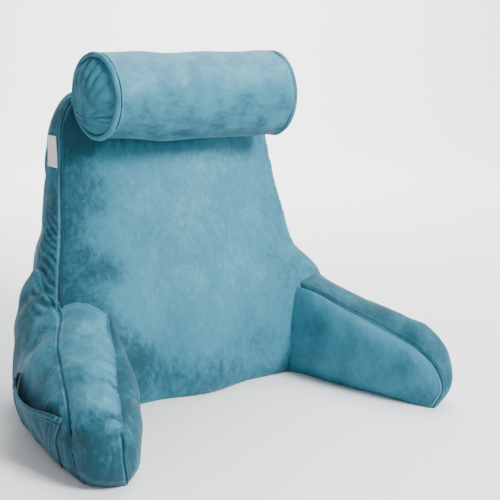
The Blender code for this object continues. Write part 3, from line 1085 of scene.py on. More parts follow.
@dataclass
class BackCushion(StuffedCushion):
    """The leaning back, its side strips gathered above the arms."""

    roll: NeckRoll
    roll_room: float = 0.0012
    name: str = "back_cover"
    node: str = "back_cushion"
    fill: float = 0.8
    give: float = 0.85
    cells: tuple[int, int, int] = (84, 22, 64)
    panel_crown: float = 0.040
    rear_crown: float = 0.014
    gusset_crown: float = 0.024
    gusset_top_crown: float = 0.012
    swells: float = 0.0018
    lower_corners: float = 0.0120
    strip_puff: float = 0.0035
    puckers: float = 0.0010
    left_gathers: float = 0.0064
    right_gathers: float = 0.0016
    fullness: tuple[Fullness, Fullness] = (((0.50, 1.0), (0.50, 1.0)), ((0.62, 1.0), (0.50, 1.0)))
    carry: float = 0.2
    shoulder_row: int = 8
    # Columns: half width, y, z; from the floor to the top middle.
    front_rim: tuple[tuple[float, float, float], ...] = (
        (0.270, 0.038, 0.000),
        (0.282, 0.020, 0.100),
        (0.290, 0.034, 0.200),
        (0.265, 0.088, 0.250),
        (0.249, 0.112, 0.320),
        (0.239, 0.129, 0.390),
        (0.230, 0.142, 0.460),
        (0.221, 0.152, 0.528),
        (0.200, 0.156, 0.564),
        (0.155, 0.160, 0.577),
        (0.000, 0.162, 0.582),
    )
    rear_rim: tuple[tuple[float, float, float], ...] = (
        (0.240, 0.212, 0.000),
        (0.256, 0.226, 0.100),
        (0.258, 0.234, 0.200),
        (0.246, 0.240, 0.250),
        (0.224, 0.247, 0.320),
        (0.207, 0.251, 0.400),
        (0.198, 0.253, 0.470),
        (0.183, 0.252, 0.527),
        (0.163, 0.249, 0.552),
        (0.120, 0.246, 0.564),
        (0.000, 0.245, 0.569),
    )
    # Columns: half width, y.
    front_base: tuple[tuple[float, float], ...] = (
        (0.270, 0.038), (0.204, 0.017), (0.100, 0.016), (0.000, -0.005)
    )
    rear_base: tuple[tuple[float, float], ...] = ((0.240, 0.212), (0.110, 0.226), (0.000, 0.230))

    @staticmethod
    def mirrored(rows: tuple[tuple[float, ...], ...]) -> Array:
        """Whole rows, left to right, from the rows of the left half."""
        left = [(-row[0], *row[1:]) for row in rows]
        return np.array([*left, *reversed(rows[:-1])])

    def surface(self) -> BoxedSurface:
        """The back cushion's surface.

        Returns:
            Both panels and the strip, from the tables of rows.
        """
        last = 2 * (len(self.front_rim) - 1)
        corners = (self.shoulder_row, last - self.shoulder_row)

        def strip_crown(run: Array) -> Array:
            """The strip's crown, less at the top."""
            return self.gusset_crown + (self.gusset_top_crown - self.gusset_crown) * swell(run, 3.0)

        return BoxedSurface(
            rims=(self.mirrored(self.front_rim), self.mirrored(self.rear_rim)),
            corners=(corners, corners),
            bases=(self.mirrored(self.front_base), self.mirrored(self.rear_base)),
            crowns=(self.panel_crown, self.rear_crown),
            strip_crown=strip_crown,
            fullness=self.fullness,
            carry=self.carry,
        )

    def relief(self, facts: Shaping) -> Array:
        """Full lower corners, gathers on the side strips, puckers at the seams, slow swells.

        Args:
            facts: what the shaping reads.

        Returns:
            One height a vertex, in metres.
        """
        points = facts.points
        across = facts.grid[:, 1]
        lift = self.swells * soft_noise(points, 0.11, 3)
        corner = bell(np.abs(points[:, 0] - SHIFT[0]), 0.225, 0.050)
        corner *= bell(points[:, 2], 0.165, 0.060)
        lift += self.lower_corners * corner * (across < TINY)
        lift += self.strip_puff * bell(across, 0.45, 0.30) * facts.on_strip
        lift += self.puckers * seam_puckers(*facts.seams[0], 0.017, 0.016, 11)
        lift += self.puckers * seam_puckers(*facts.seams[1], 0.019, 0.018, 12)
        drawn = np.where(points[:, 0] < 0.0, self.left_gathers, self.right_gathers)
        lift += drawn * shoulder_gathers(points, facts.seams[0][0]) * facts.on_strip
        return lift

    def shape(self, piece: bpy.types.Object, surface: BoxedSurface) -> None:
        """Shapes the cover, then lets the roll press its seat into it."""
        super().shape(piece, surface)
        write_points(piece.data, self.roll.pressed_into(read_points(piece.data), self.roll_room))

    def nap(self, facts: Shaping) -> Array:
        """Painted light and shade: lighter right of the middle, darker towards the edges, most down
        the left, and at the bottom, with a painted shadow under the roll and dark side strips.

        Args:
            facts: what the shaping reads.

        Returns:
            One value a vertex, 0 dark to 1 light.
        """
        x, _, z = (facts.points - SHIFT).T
        wave = 0.03 * soft_noise(facts.points, 0.16, 21)
        shade = np.full(len(x), 0.50)
        # Painted light right of the middle; painted shade towards the edges, beside the left arm,
        # under the left of the roll and along the bottom.
        shade += 0.10 * bell(x - 0.02 + wave, 0.0, 0.15) * smooth_step(z, 0.08, 0.2)
        shade -= 0.16 * smooth_step(x + wave, 0.12, 0.24)
        shade -= 0.03 * bell(x + 0.15 + wave, 0.0, 0.07) * smooth_step(z + wave, 0.21, 0.07)
        shade -= 0.38 * smooth_step(x + wave, -0.12, -0.24)
        shade -= 0.30 * smooth_step(z, 0.455, 0.50) * smooth_step(x + wave, 0.05, -0.12)
        shade -= 0.15 * smooth_step(z + wave, 0.13, 0.02)
        shade -= 0.07 * smooth_step(z + wave, 0.33, 0.12) * smooth_step(x, 0.16, 0.04)
        shade += 0.03 * soft_noise(facts.points, 0.12, 22)
        # Painted shadow under and beside the roll.
        from_roll = self.roll.placed_on_axis(facts.points)[3] - self.roll.radius
        shade -= 0.40 * smooth_step(from_roll, 0.032, 0.004)
        # Painted shade on the side strips, deeper in their gathers' valleys, with painted light on
        # the ridges.
        side = 0.22 + 0.05 * soft_noise(facts.points, 0.09, 23)
        drawn = np.where(x < 0.0, 0.50, 0.12)
        side = side + drawn * shoulder_gathers(facts.points, facts.seams[0][0])
        rear = 0.40 + 0.06 * soft_noise(facts.points, 0.09, 24)
        shade = np.where(facts.grid[:, 1] > 0.5, rear, shade)
        return np.where(facts.on_strip, side, shade)

    def finish(self) -> VelvetFinish:
        """Velvet brushed up and down, a little aslant.

        Returns:
            The velvet of the back.
        """
        return VelvetFinish(
            "back_velvet",
            marks=0.12,
            streaks=0.14,
            stretch=(0.95, 0.95, 0.62),
            tilt=(0.0, 14.0, 0.0),
        )


class Side(Enum):
    """The two sides of the seat, as the sign of x."""

    LEFT = -1
    RIGHT = 1


@dataclass
class ArmRest(StuffedCushion):
    """One arm rest: inner wall, outer wall, and a strip over the top and down the front."""

    side: Side
    back: bpy.types.Object
    back_seam: Array
    # Rims: how far out from x = 0, y, z; from the rear end to the floor under the front end.
    inner_rim: tuple[tuple[float, float, float], ...]
    outer_rim: tuple[tuple[float, float, float], ...]
    # Floor lines: how far out from x = 0, y.
    inner_base: tuple[tuple[float, float], ...]
    outer_base: tuple[tuple[float, float], ...]
    swells: float
    gathers: float
    # Painted light and shade: the strip's and the walls' depths are set lighter or darker for how
    # light falls on them.
    strip_nap_and_shading: float
    wall_naps_and_shading: tuple[float, float]
    marks: float
    streaks: float
    give: float = 1.0
    fill: float = 0.85
    cells: tuple[int, int, int] = (72, 22, 34)
    inner_crown: float = 0.034
    outer_crown: float = 0.0476
    fullness: tuple[Fullness, Fullness] = (
        ((0.70, 1.90), (0.45, 1.45)),
        ((0.56, 0.45), (0.62, 1.40)),
    )
    inner_corners: tuple[int, int] = (2, 8)
    outer_corners: tuple[int, int] = (2, 9)
    # Columns: share of the strip's run, crown.
    strip_crowns: tuple[tuple[float, float], ...] = (
        (0.00, 0.012), (0.45, 0.014), (0.78, 0.028), (0.93, 0.021), (1.00, 0.010)
    )
    puckers: float = 0.0008
    dip_at_back: float = 0.0110
    front_pleats: float = 0.0026
    foot_waves: float = 0.0014
    deepest: float = 0.006

    def __post_init__(self) -> None:
        """Names the cover and its CAD node after the side."""
        self.node = f"arm_{self.side.name.lower()}"
        self.name = f"{self.node}_cover"

    def placed(self, rows: tuple[tuple[float, ...], ...]) -> Array:
        """Rows with x on this arm's side."""
        return np.array([(self.side.value * row[0], *row[1:]) for row in rows])

    def surface(self) -> BoxedSurface:
        """The arm's surface.

        Returns:
            Both walls and the strip, from the tables of rows.
        """
        shares, crowns = zip(*self.strip_crowns)
        return BoxedSurface(
            rims=(self.placed(self.inner_rim), self.placed(self.outer_rim)),
            corners=(self.inner_corners, self.outer_corners),
            bases=(self.placed(self.inner_base), self.placed(self.outer_base)),
            crowns=(self.inner_crown, self.outer_crown),
            strip_crown=lambda run: np.interp(run, shares, crowns),
            fullness=self.fullness,
            carry=1.0,
        )

    def from_back(self, facts: Shaping) -> Array:
        """Each point's distance from the front seam of the back."""
        return seam_measure(facts.points, self.back_seam)[0]

    def relief(self, facts: Shaping) -> Array:
        """Puckers along both seams, the shoulder's gathers and slow swells.

        Args:
            facts: what the shaping reads.

        Returns:
            One height a vertex, in metres.
        """
        seed = 40 + self.side.value
        away = self.from_back(facts)
        lift = self.swells * soft_noise(facts.points, 0.085, seed)
        lift += self.gathers * shoulder_gathers(facts.points, away) * self.shoulder(facts)
        lift += self.puckers * seam_puckers(*facts.seams[0], 0.015, 0.014, seed + 5)
        lift += self.puckers * seam_puckers(*facts.seams[1], 0.016, 0.014, seed + 6)
        if self.side is Side.LEFT:
            dip = self.dip_at_back * smooth_step(away, 0.055, 0.010)
            lift += (self.front_folds(facts) - dip) * facts.on_strip
        return lift

    def front_folds(self, facts: Shaping) -> Array:
        """Pleats drawn from the inner seam low on the front, and upright waves at its foot.

        Args:
            facts: what the shaping reads.

        Returns:
            One height a vertex, in metres.
        """
        x, y, z = facts.points.T
        low = smooth_step(z, 0.075, 0.1) * smooth_step(z, 0.175, 0.15)
        pleats = seam_puckers(*facts.seams[0], 0.0135, 0.020, 71) * low
        foot = smooth_step(z, 0.100, 0.060) * smooth_step(z, 0.005, 0.02)
        place = x + 0.5 * y + 0.006 * soft_noise(facts.points, 0.05, 72)
        uneven = 0.5 + 0.5 * soft_noise(facts.points, 0.04, 73)
        waves = np.cos(math.tau * place / 0.015) * foot * uneven
        return self.front_pleats * pleats + self.foot_waves * waves

    def shoulder(self, facts: Shaping) -> Array:
        """1 over the rear of the arm, where its cover runs on into the back's side strip."""
        return smooth_step(facts.points[:, 1] - SHIFT[1], 0.030, 0.055)

    def seam_shows(self, facts: Shaping) -> Array:
        """The outer seam shows only forward of the shoulder."""
        outer = facts.seams[1][0] < facts.seams[0][0]
        return np.where(outer, 1.0 - self.shoulder(facts), 1.0)

    def nap(self, facts: Shaping) -> Array:
        """One depth on the strip and one on each wall, set for how light falls on them, and the
        left arm's painted shade at its foot, over its shoulder and by its inner seam.

        Args:
            facts: what the shaping reads.

        Returns:
            One value a vertex, 0 dark to 1 light.
        """
        wall = np.where(facts.grid[:, 1] < 0.5, *self.wall_naps_and_shading)
        shade = np.where(facts.on_strip, self.strip_nap_and_shading, wall)
        if self.side is Side.LEFT:
            # Painted shade, with painted light on the shoulder's gathered ridges.
            shade = shade + self.shaded_places(facts)
        return shade + 0.06 * soft_noise(facts.points, 0.08, 32)

    def shaded_places(self, facts: Shaping) -> Array:
        """Painted light and shade: darker low on the strip's front and at the outer wall's foot,
        darker over the shoulder with painted light on its gathers' ridges, and dark streaks beside
        the inner seam.

        Args:
            facts: what the shaping reads.

        Returns:
            One change of the nap a vertex.
        """
        _, y, z = facts.points.T
        wave = 0.015 * soft_noise(facts.points, 0.1, 31)
        # Painted shade low on the strip's front and at the outer wall's foot.
        change = -0.56 * smooth_step(z + 1.8 * wave, 0.170, 0.030) * facts.on_strip
        outer_foot = smooth_step(z + wave, 0.160, 0.040) * (facts.grid[:, 1] > 1.0 - TINY)
        change -= 0.30 * outer_foot * smooth_step(y, -0.02, -0.12)
        # Painted shade over the shoulder, deeper in its gathers' valleys, with painted light on
        # their ridges.
        drawn = shoulder_gathers(facts.points, self.from_back(facts))
        change += (0.50 * drawn - 0.20) * self.shoulder(facts)
        # Painted shade in streaks beside the inner seam, where it puckers.
        away, run = facts.seams[0]
        strokes = soft_noise(np.stack([run, away * 0.35], axis=1), 0.030, 33)
        beside = np.exp(-away / 0.026) * smooth_step(z, 0.06, 0.10) * smooth_step(z, 0.19, 0.16)
        return change - 0.34 * np.clip(0.35 + strokes, 0.0, 1.2) * beside * facts.on_strip

    def shape(self, piece: bpy.types.Object, surface: BoxedSurface) -> None:
        """Shapes the cover, then lets it press only a little way into the back.

        Args:
            piece: the relaxed and subdivided cover.
            surface: the surface it follows.
        """
        super().shape(piece, surface)
        tree = tree_of(self.back.data)
        points = read_points(piece.data)
        for index, point in enumerate(points):
            nearest, normal, _, _ = tree.find_nearest(Vector(point))
            depth = (nearest - Vector(point)).dot(normal)
            if depth > self.deepest:
                points[index] = nearest - normal * self.deepest
        write_points(piece.data, points)

    def finish(self) -> VelvetFinish:
        """Velvet with the marks of use."""
        return VelvetFinish(
            f"{self.node}_velvet", marks=self.marks, streaks=self.streaks, stretch=(1.0, 0.8, 0.6)
        )


# Both arms' inner seams start alike, inside the back.
INNER_SEAM_START = (
    (0.100, 0.110, 0.000),
    (0.100, 0.110, 0.120),
    (0.120, 0.095, 0.170),
    (0.190, 0.045, 0.188),
    (0.222, -0.020, 0.184),
)
ARM_SIZES = {
    Side.LEFT: {
        "swells": 0.0020,
        "gathers": 0.0062,
        # Painted light on the strip, painted shade on the inner wall.
        "strip_nap_and_shading": 0.58,
        "wall_naps_and_shading": (0.06, 0.32),
        "marks": 0.19,
        "streaks": 0.16,
        "inner_rim": (
            *INNER_SEAM_START,
            (0.256, -0.108, 0.157),
            (0.294, -0.198, 0.127),
            (0.317, -0.259, 0.104),
            (0.330, -0.295, 0.076),
            (0.331, -0.304, 0.040),
            (0.318, -0.284, 0.000),
        ),
        "outer_rim": (
            (0.195, 0.165, 0.000),
            (0.195, 0.165, 0.160),
            (0.215, 0.185, 0.235),
            (0.276, 0.165, 0.255),
            (0.295, 0.090, 0.232),
            (0.300, 0.020, 0.203),
            (0.337, -0.072, 0.168),
            (0.362, -0.153, 0.138),
            (0.375, -0.200, 0.112),
            (0.383, -0.229, 0.076),
            (0.385, -0.237, 0.034),
            (0.375, -0.235, 0.000),
        ),
        "inner_base": (
            (0.100, 0.110), (0.206, 0.018), (0.242, -0.100), (0.273, -0.178), (0.294, -0.254),
            (0.318, -0.284)
        ),
        "outer_base": (
            (0.195, 0.165), (0.255, 0.214), (0.304, 0.188), (0.334, 0.142), (0.354, 0.088),
            (0.364, 0.030), (0.372, -0.080), (0.376, -0.175), (0.375, -0.235)
        ),
    },
    Side.RIGHT: {
        "give": 0.45,
        "swells": 0.0004,
        "gathers": 0.0014,
        # Painted shade on the strip, darker than the walls.
        "strip_nap_and_shading": 0.16,
        "wall_naps_and_shading": (0.36, 0.36),
        "marks": 0.05,
        "streaks": 0.09,
        "inner_rim": (
            *INNER_SEAM_START,
            (0.252, -0.110, 0.157),
            (0.283, -0.205, 0.127),
            (0.303, -0.268, 0.104),
            (0.314, -0.305, 0.076),
            (0.318, -0.320, 0.040),
            (0.308, -0.304, 0.000),
        ),
        "outer_rim": (
            (0.195, 0.165, 0.000),
            (0.195, 0.165, 0.140),
            (0.215, 0.185, 0.200),
            (0.276, 0.165, 0.222),
            (0.294, 0.090, 0.203),
            (0.301, 0.020, 0.178),
            (0.332, -0.080, 0.145),
            (0.352, -0.165, 0.131),
            (0.360, -0.215, 0.128),
            (0.366, -0.250, 0.098),
            (0.362, -0.264, 0.050),
            (0.350, -0.260, 0.000),
        ),
        "inner_base": (
            (0.100, 0.110), (0.206, 0.018), (0.240, -0.100), (0.268, -0.180), (0.297, -0.275),
            (0.308, -0.304)
        ),
        "outer_base": (
            (0.195, 0.165), (0.255, 0.214), (0.306, 0.188), (0.337, 0.142), (0.357, 0.088),
            (0.368, 0.030), (0.375, -0.080), (0.370, -0.190), (0.350, -0.260)
        ),
    },
}


# ------------------------------------------------------------------ neck roll
@dataclass
class NeckRoll:
    """The neck roll with its gathered ends, and the piping round each end."""

    name: str = "neck_roll_cover"
    radius: float = 0.0825
    half_length: float = 0.187
    centre: tuple[float, float, float] = (0.003, 0.063, 0.5735)
    dome: float = 0.024
    # How the left end is drawn in, lifted, pushed out and slanted.
    taper: float = 0.055
    rise: float = 0.006
    reach: float = 0.008
    slant: float = 0.100
    piping_radius: float = 0.0046
    piping_sink: float = 0.0036
    groove_ease: float = 0.0003
    piping_pile: float = 0.0006
    around: int = 208
    dome_steps: int = 26
    body_steps: int = 96
    pleats: int = 24
    pleat_depth: float = 0.0042
    pleat_fan: float = 0.042
    swells: float = 0.0016
    crimps: float = 0.0008
    flat_under: float = 0.0012

    def left_end(self, along: Array) -> Array:
        """How fully the left end's shape shows at places along the roll, from 0 at its middle."""
        share = np.clip(-along / self.half_length, 0.0, 1.1)
        return share ** 2 * (3.0 - 2.0 * np.minimum(share, 1.0))

    def softened(self, points: Array) -> Array:
        """Moves points of a true cylinder along X to the stuffed roll's shape.

        Args:
            points: rows, about the roll's own middle.

        Returns:
            Rows in the frame.
        """
        weight = self.left_end(points[:, 0])
        moved = points.copy()
        moved[:, 1:] *= (1.0 - self.taper * weight)[:, None]
        moved[:, 2] += self.rise * weight
        moved[:, 0] -= weight * (self.reach + self.slant * points[:, 1])
        return moved + np.array(self.centre) + SHIFT

    def placed_on_axis(self, points: Array) -> tuple[Array, Array, Array, Array, Array]:
        """Places as the roll sees them.

        Args:
            points: rows in the frame.

        Returns:
            The place along the roll, its two offsets from the axis, its distance from the axis,
            and how far the roll is drawn in there.
        """
        local = points - np.array(self.centre) - SHIFT
        weight = self.left_end(local[:, 0])
        squeeze = 1.0 - self.taper * weight
        side = local[:, 1] / squeeze
        height = (local[:, 2] - self.rise * weight) / squeeze
        along = local[:, 0] + weight * (self.reach + self.slant * side)
        return along, side, height, np.hypot(side, height), squeeze

    def pressed_into(self, points: Array, room: float) -> Array:
        """Moves points of another cover out of the roll, so that the roll has its seat in it.

        Args:
            points: rows in the frame.
            room: the clearance to leave.

        Returns:
            The rows, with those inside the roll moved out from its axis.
        """
        along, side, height, away, squeeze = self.placed_on_axis(points)
        inside = smooth_step(np.abs(along), self.half_length + 0.030, self.half_length + 0.004)
        grow = inside * (np.maximum((self.radius + room) / np.maximum(away, TINY), 1.0) - 1.0)
        moved = points.copy()
        moved[:, 1] += side * grow * squeeze
        moved[:, 2] += height * grow * squeeze
        return moved

    def profile(self) -> tuple[Array, Array, Array]:
        """The profile from end to end: a dome, the piping's groove and the body, mirrored.

        Returns:
            Places along the axis, radii, and per row how far it is pleated, 0 to 1.
        """
        rim = self.radius - self.piping_sink
        groove = self.piping_radius + self.groove_ease
        share = np.linspace(0.0, 1.0, self.dome_steps + 1)
        dome = self.half_length + 0.002 + self.dome * (1.0 - share ** 2.6) - 0.004 * share ** 8
        pleated = smooth_step(share, 0.10, 0.72) * smooth_step(share, 1.0, 0.93)
        start = -0.5 * math.pi - 0.25
        end = -math.pi - math.asin(self.piping_sink / groove)
        angle = np.linspace(start, end, 7)[1:]
        valley = self.half_length + groove * np.cos(angle)
        steps = self.body_steps // 2
        body = valley[-1] * (1.0 - np.arange(1, steps + 1) / steps)
        along = np.concatenate((dome, valley, body))
        radii = (share * (rim - groove), rim + groove * np.sin(angle), np.full(steps, self.radius))
        pleated = np.concatenate((pleated, np.zeros(len(valley) + steps)))
        halves = ((along, -1.0), (np.concatenate(radii), 1.0), (pleated, 1.0))
        return tuple(np.concatenate((half, way * half[-2::-1])) for half, way in halves)

    def pleat_wave(self, x: Array, r: Array, theta: Array) -> Array:
        """The gathered ends' pleats, which fan out from a place beside the middle.

        Args:
            x: places along the roll.
            r: radii.
            theta: angles round the axis.

        Returns:
            Depths, as shares of a pleat's.
        """
        fan = np.arctan2(r * np.sin(theta), r * np.cos(theta) + self.pleat_fan)
        wander = 1.1 * np.sin(3.0 * fan + 0.7) + 0.8 * np.sin(5.0 * fan + np.sign(x) * 2.0)
        deep = 0.62 + 0.38 * np.sin(2.0 * fan + 1.1) * np.sin(7.0 * fan + 0.4)
        return deep * (1.0 - 2.0 * np.abs(np.sin(0.5 * self.pleats * fan + wander)) ** 0.7)

    def body_relief(self, x: Array, r: Array, theta: Array) -> Array:
        """Slow swells over the body, crimped cloth beside the piping, and a flatter underside.

        Args:
            x: places along the roll.
            r: radii.
            theta: angles round the axis.

        Returns:
            One height a point, in metres.
        """
        place = np.stack([x * 0.7, r * np.sin(theta), r * np.cos(theta)], axis=1)
        crimp = np.cos(46.0 * theta + 2.0 * np.sin(4.0 * theta))
        near_end = 1.0 - np.clip((self.half_length - np.abs(x)) / 0.03, 0.0, 1.0)
        under = np.minimum(np.cos(theta), 0.0) ** 2
        lift = self.swells * soft_noise(place, 0.075, 51)
        return lift + self.crimps * crimp * near_end ** 2 - self.flat_under * under

    def faces(self, rings: int) -> list[tuple[int, ...]]:
        """Faces between rings of points, closed at each end round a pole.

        Args:
            rings: how many rings there are; the two poles come after their points.

        Returns:
            The faces, as rows of point numbers.
        """
        first_pole = rings * self.around
        last_ring = first_pole - self.around
        turn = [(step, (step + 1) % self.around) for step in range(self.around)]
        faces = []
        for low in range(0, last_ring, self.around):
            high = low + self.around
            faces += [(low + a, low + b, high + b, high + a) for a, b in turn]
        for a, b in turn:
            faces.append((first_pole, b, a))
            faces.append((first_pole + 1, last_ring + a, last_ring + b))
        return faces

    def cover(self) -> bpy.types.Object:
        """Builds the roll's cover.

        Returns:
            The finished piece, riding on the frame.
        """
        along, radius, pleated = self.profile()
        turn = np.linspace(0.0, math.tau, self.around, endpoint=False)
        theta = np.tile(turn, len(along) - 2)
        x, r, fold = (np.repeat(row[1:-1], self.around) for row in (along, radius, pleated))
        on_body = np.abs(r - self.radius) < TINY
        x = x - np.sign(x) * self.pleat_depth * fold * self.pleat_wave(x, r, theta)
        r = r + on_body * self.body_relief(x, r, theta)
        ring = np.stack([x, -r * np.sin(theta), r * np.cos(theta)], axis=1)
        poles = [(along[0], 0.0, 0.0), (along[-1], 0.0, 0.0)]
        points = self.softened(np.concatenate([ring, poles]))
        mesh = bpy.data.meshes.new(self.name)
        mesh.from_pydata(points.tolist(), [], self.faces(len(along) - 2))
        face_out(mesh)
        piece = as_piece(self.name, mesh)
        # Distances from the piping, which the velvet reads as seams: painted shade in the grooves
        # on both sides of it.
        piping_edge = self.half_length - np.abs(x) - self.piping_radius
        seam = np.where(on_body, piping_edge, self.radius - r - 0.0085)
        seam = np.concatenate([np.clip(seam, 0.0, FAR_FROM_SEAM), [FAR_FROM_SEAM] * 2])
        on_body = np.concatenate([on_body, [False, False]])
        mark_cover(mesh, nap=self.nap(points, on_body), seam=seam)
        velvet = VelvetFinish(
            "roll_velvet", marks=0.12, streaks=0.13, stretch=(0.55, 0.9, 0.9), tilt=(0.0, 28.0, 0.0)
        )
        dress(piece, velvet, "neck_roll")
        return piece

    def nap(self, points: Array, on_body: Array) -> Array:
        """Painted light on the upper side of the body, painted shade below, and an even depth over
        the ends.

        Args:
            points: rows in the frame.
            on_body: true off the ends.

        Returns:
            One value a vertex, 0 dark to 1 light.
        """
        # Painted light on the top of the body and painted shade underneath.
        level = points[:, 2] - self.centre[2] + 0.013 * soft_noise(points, 0.055, 63)
        shade = 0.33 + 0.06 * soft_noise(points * (1.0, 1.0, 0.6), 0.06, 61)
        shade += 0.37 * smooth_step(level, -0.025, 0.055) - 0.12 * smooth_step(level, -0.03, -0.075)
        return np.where(on_body, shade, 0.36 + 0.06 * soft_noise(points, 0.03, 62))

    def piping(self, side: Side) -> bpy.types.Object:
        """Builds the piping round one end.

        Args:
            side: which end.

        Returns:
            The finished piece.
        """
        label = side.name.lower()
        bpy.ops.object.select_all(action="DESELECT")
        bpy.ops.mesh.primitive_torus_add(
            major_radius=self.radius - self.piping_sink,
            minor_radius=self.piping_radius + self.piping_pile,
            major_segments=self.around,
            minor_segments=18,
            rotation=(0.0, 0.5 * math.pi, 0.0),
        )
        piece = bpy.context.active_object
        bpy.ops.object.transform_apply(location=True, rotation=True, scale=True)
        piece.name = f"piping_{label}"
        mesh = piece.data
        mesh.name = piece.name
        points = read_points(mesh)
        turn = np.arctan2(points[:, 1], points[:, 2])
        uneven = 1.0 + 0.0045 * np.cos(9.0 * turn + 1.0) * np.sin(4.0 * turn)
        points[:, 1:] *= uneven[:, None]
        points[:, 0] += side.value * self.half_length
        write_points(mesh, self.softened(points))
        mesh.shade_smooth()
        mark_cover(mesh, nap=0.5 + 0.1 * soft_noise(points, 0.04, 66))
        velvet = VelvetFinish(f"piping_{label}_velvet", marks=0.1, streaks=0.08)
        dress(piece, velvet, f"roll_piping_{label}")
        return piece


# ------------------------------------------------------------------ pocket and label
@dataclass
class PatchPocket:
    """The patch pocket on the left arm's outer wall: sewn on three sides, with a hemmed mouth."""

    name: str = "pocket_cover"
    # Shares of the wall, from its rear to its front and from its foot to its top seam.
    foot_span: tuple[float, float] = (0.470, 0.900)
    mouth_span: tuple[float, float] = (0.500, 0.918)
    foot: float = 0.04
    # Columns: share of the pocket's length, share of the wall's height.
    mouth: tuple[tuple[float, float], ...] = (
        (0.00, 0.47), (0.25, 0.47), (0.50, 0.54), (0.75, 0.65), (1.00, 0.88)
    )
    flat: tuple[float, float] = (0.270, 0.105)
    thickness: float = 0.0022
    gape: float = 0.021
    seam_offset: float = 0.0013
    sewing_inset: float = 0.004
    hem: float = 0.10
    hem_thickness: float = 0.0016
    puff: float = 0.0016
    rear_folds: float = 0.0015
    front_folds: float = 0.0009
    cells: tuple[int, int, int] = (88, 1, 48)

    def build(self, arm: bpy.types.Object, wall: BoxedSurface) -> bpy.types.Object:
        """Builds the pocket on the arm.

        Args:
            arm: the arm's finished cover.
            wall: the arm's surface.

        Returns:
            The finished piece.
        """
        mouth_line = smooth_path(np.array([(*row, 0.0) for row in self.mouth]))[0]
        mesh, grid = cut_cube(self.name, self.cells)
        along, across, up = grid.T
        top = mouth_line(along)[:, 1]
        rear = self.foot_span[0] + (self.mouth_span[0] - self.foot_span[0]) * up
        front = self.foot_span[1] + (self.mouth_span[1] - self.foot_span[1]) * up
        share_along = rear + (front - rear) * along
        share_up = self.foot + (top - self.foot) * up

        def bare(u: Array, v: Array) -> Array:
            """The outer wall without its crown, where normals turn gently."""
            return wall.patch(1, u, v)

        outward = normals_of(bare, share_along, share_up) * wall.turns[1]
        spot = wall.panel(1, share_along, share_up) + SHIFT
        height = self.seam_offset + self.gape * swell(along, 0.9) * up ** 1.5
        height += self.folds(along, up) + self.thickness * across
        hem_edge = 1.0 - self.hem
        height += self.hem_thickness * across * smooth_step(up, hem_edge, hem_edge + 0.01)
        write_points(mesh, laid_on(tree_of(arm.data), spot, outward, height))
        face_out(mesh)
        self.sew(mesh, grid)
        piece = as_piece(self.name, mesh)
        velvet = VelvetFinish("pocket_velvet", marks=0.12, streaks=0.10)
        dress(piece, velvet, "pocket_panel")
        return piece

    def folds(self, along: Array, up: Array) -> Array:
        """Folds that hang from the mouth, closest together at its two ends.

        Args:
            along: shares of the length.
            up: shares of the height.

        Returns:
            One height a point, in metres.
        """
        rear = np.cos(math.tau * (along * 11.0 + 0.8 * up)) * smooth_step(along, 0.42, 0.12)
        front = np.cos(math.tau * (along * 17.0 - 1.4 * up)) * smooth_step(along, 0.80, 0.96)
        inside = smooth_step(along, 0.0, 0.05) * smooth_step(along, 1.0, 0.985)
        drop = smooth_step(up, 0.05, 0.5)
        puff = self.puff * swell(along, 0.4) * swell(np.clip(up, 0.0, 0.98), 0.4)
        return puff + (self.rear_folds * rear + self.front_folds * front) * inside * drop

    def sew(self, mesh: bpy.types.Mesh, grid: Array) -> None:
        """Writes what the velvet reads: nap, the sewn edges and the hem's row of stitches.

        Args:
            mesh: the pocket's mesh.
            grid: its shares along, across and up.
        """
        along, _, up = grid.T
        wide, high = self.flat
        edge = np.minimum(np.minimum(along, 1.0 - along) * wide, up * high)
        hem_row = np.abs(up - (1.0 - self.hem)) * high
        mark_cover(
            mesh,
            nap=0.05 + 0.06 * soft_noise(read_points(mesh), 0.05, 81),
            seam=np.minimum(np.abs(edge - self.sewing_inset), hem_row),
            run=along * wide,
        )


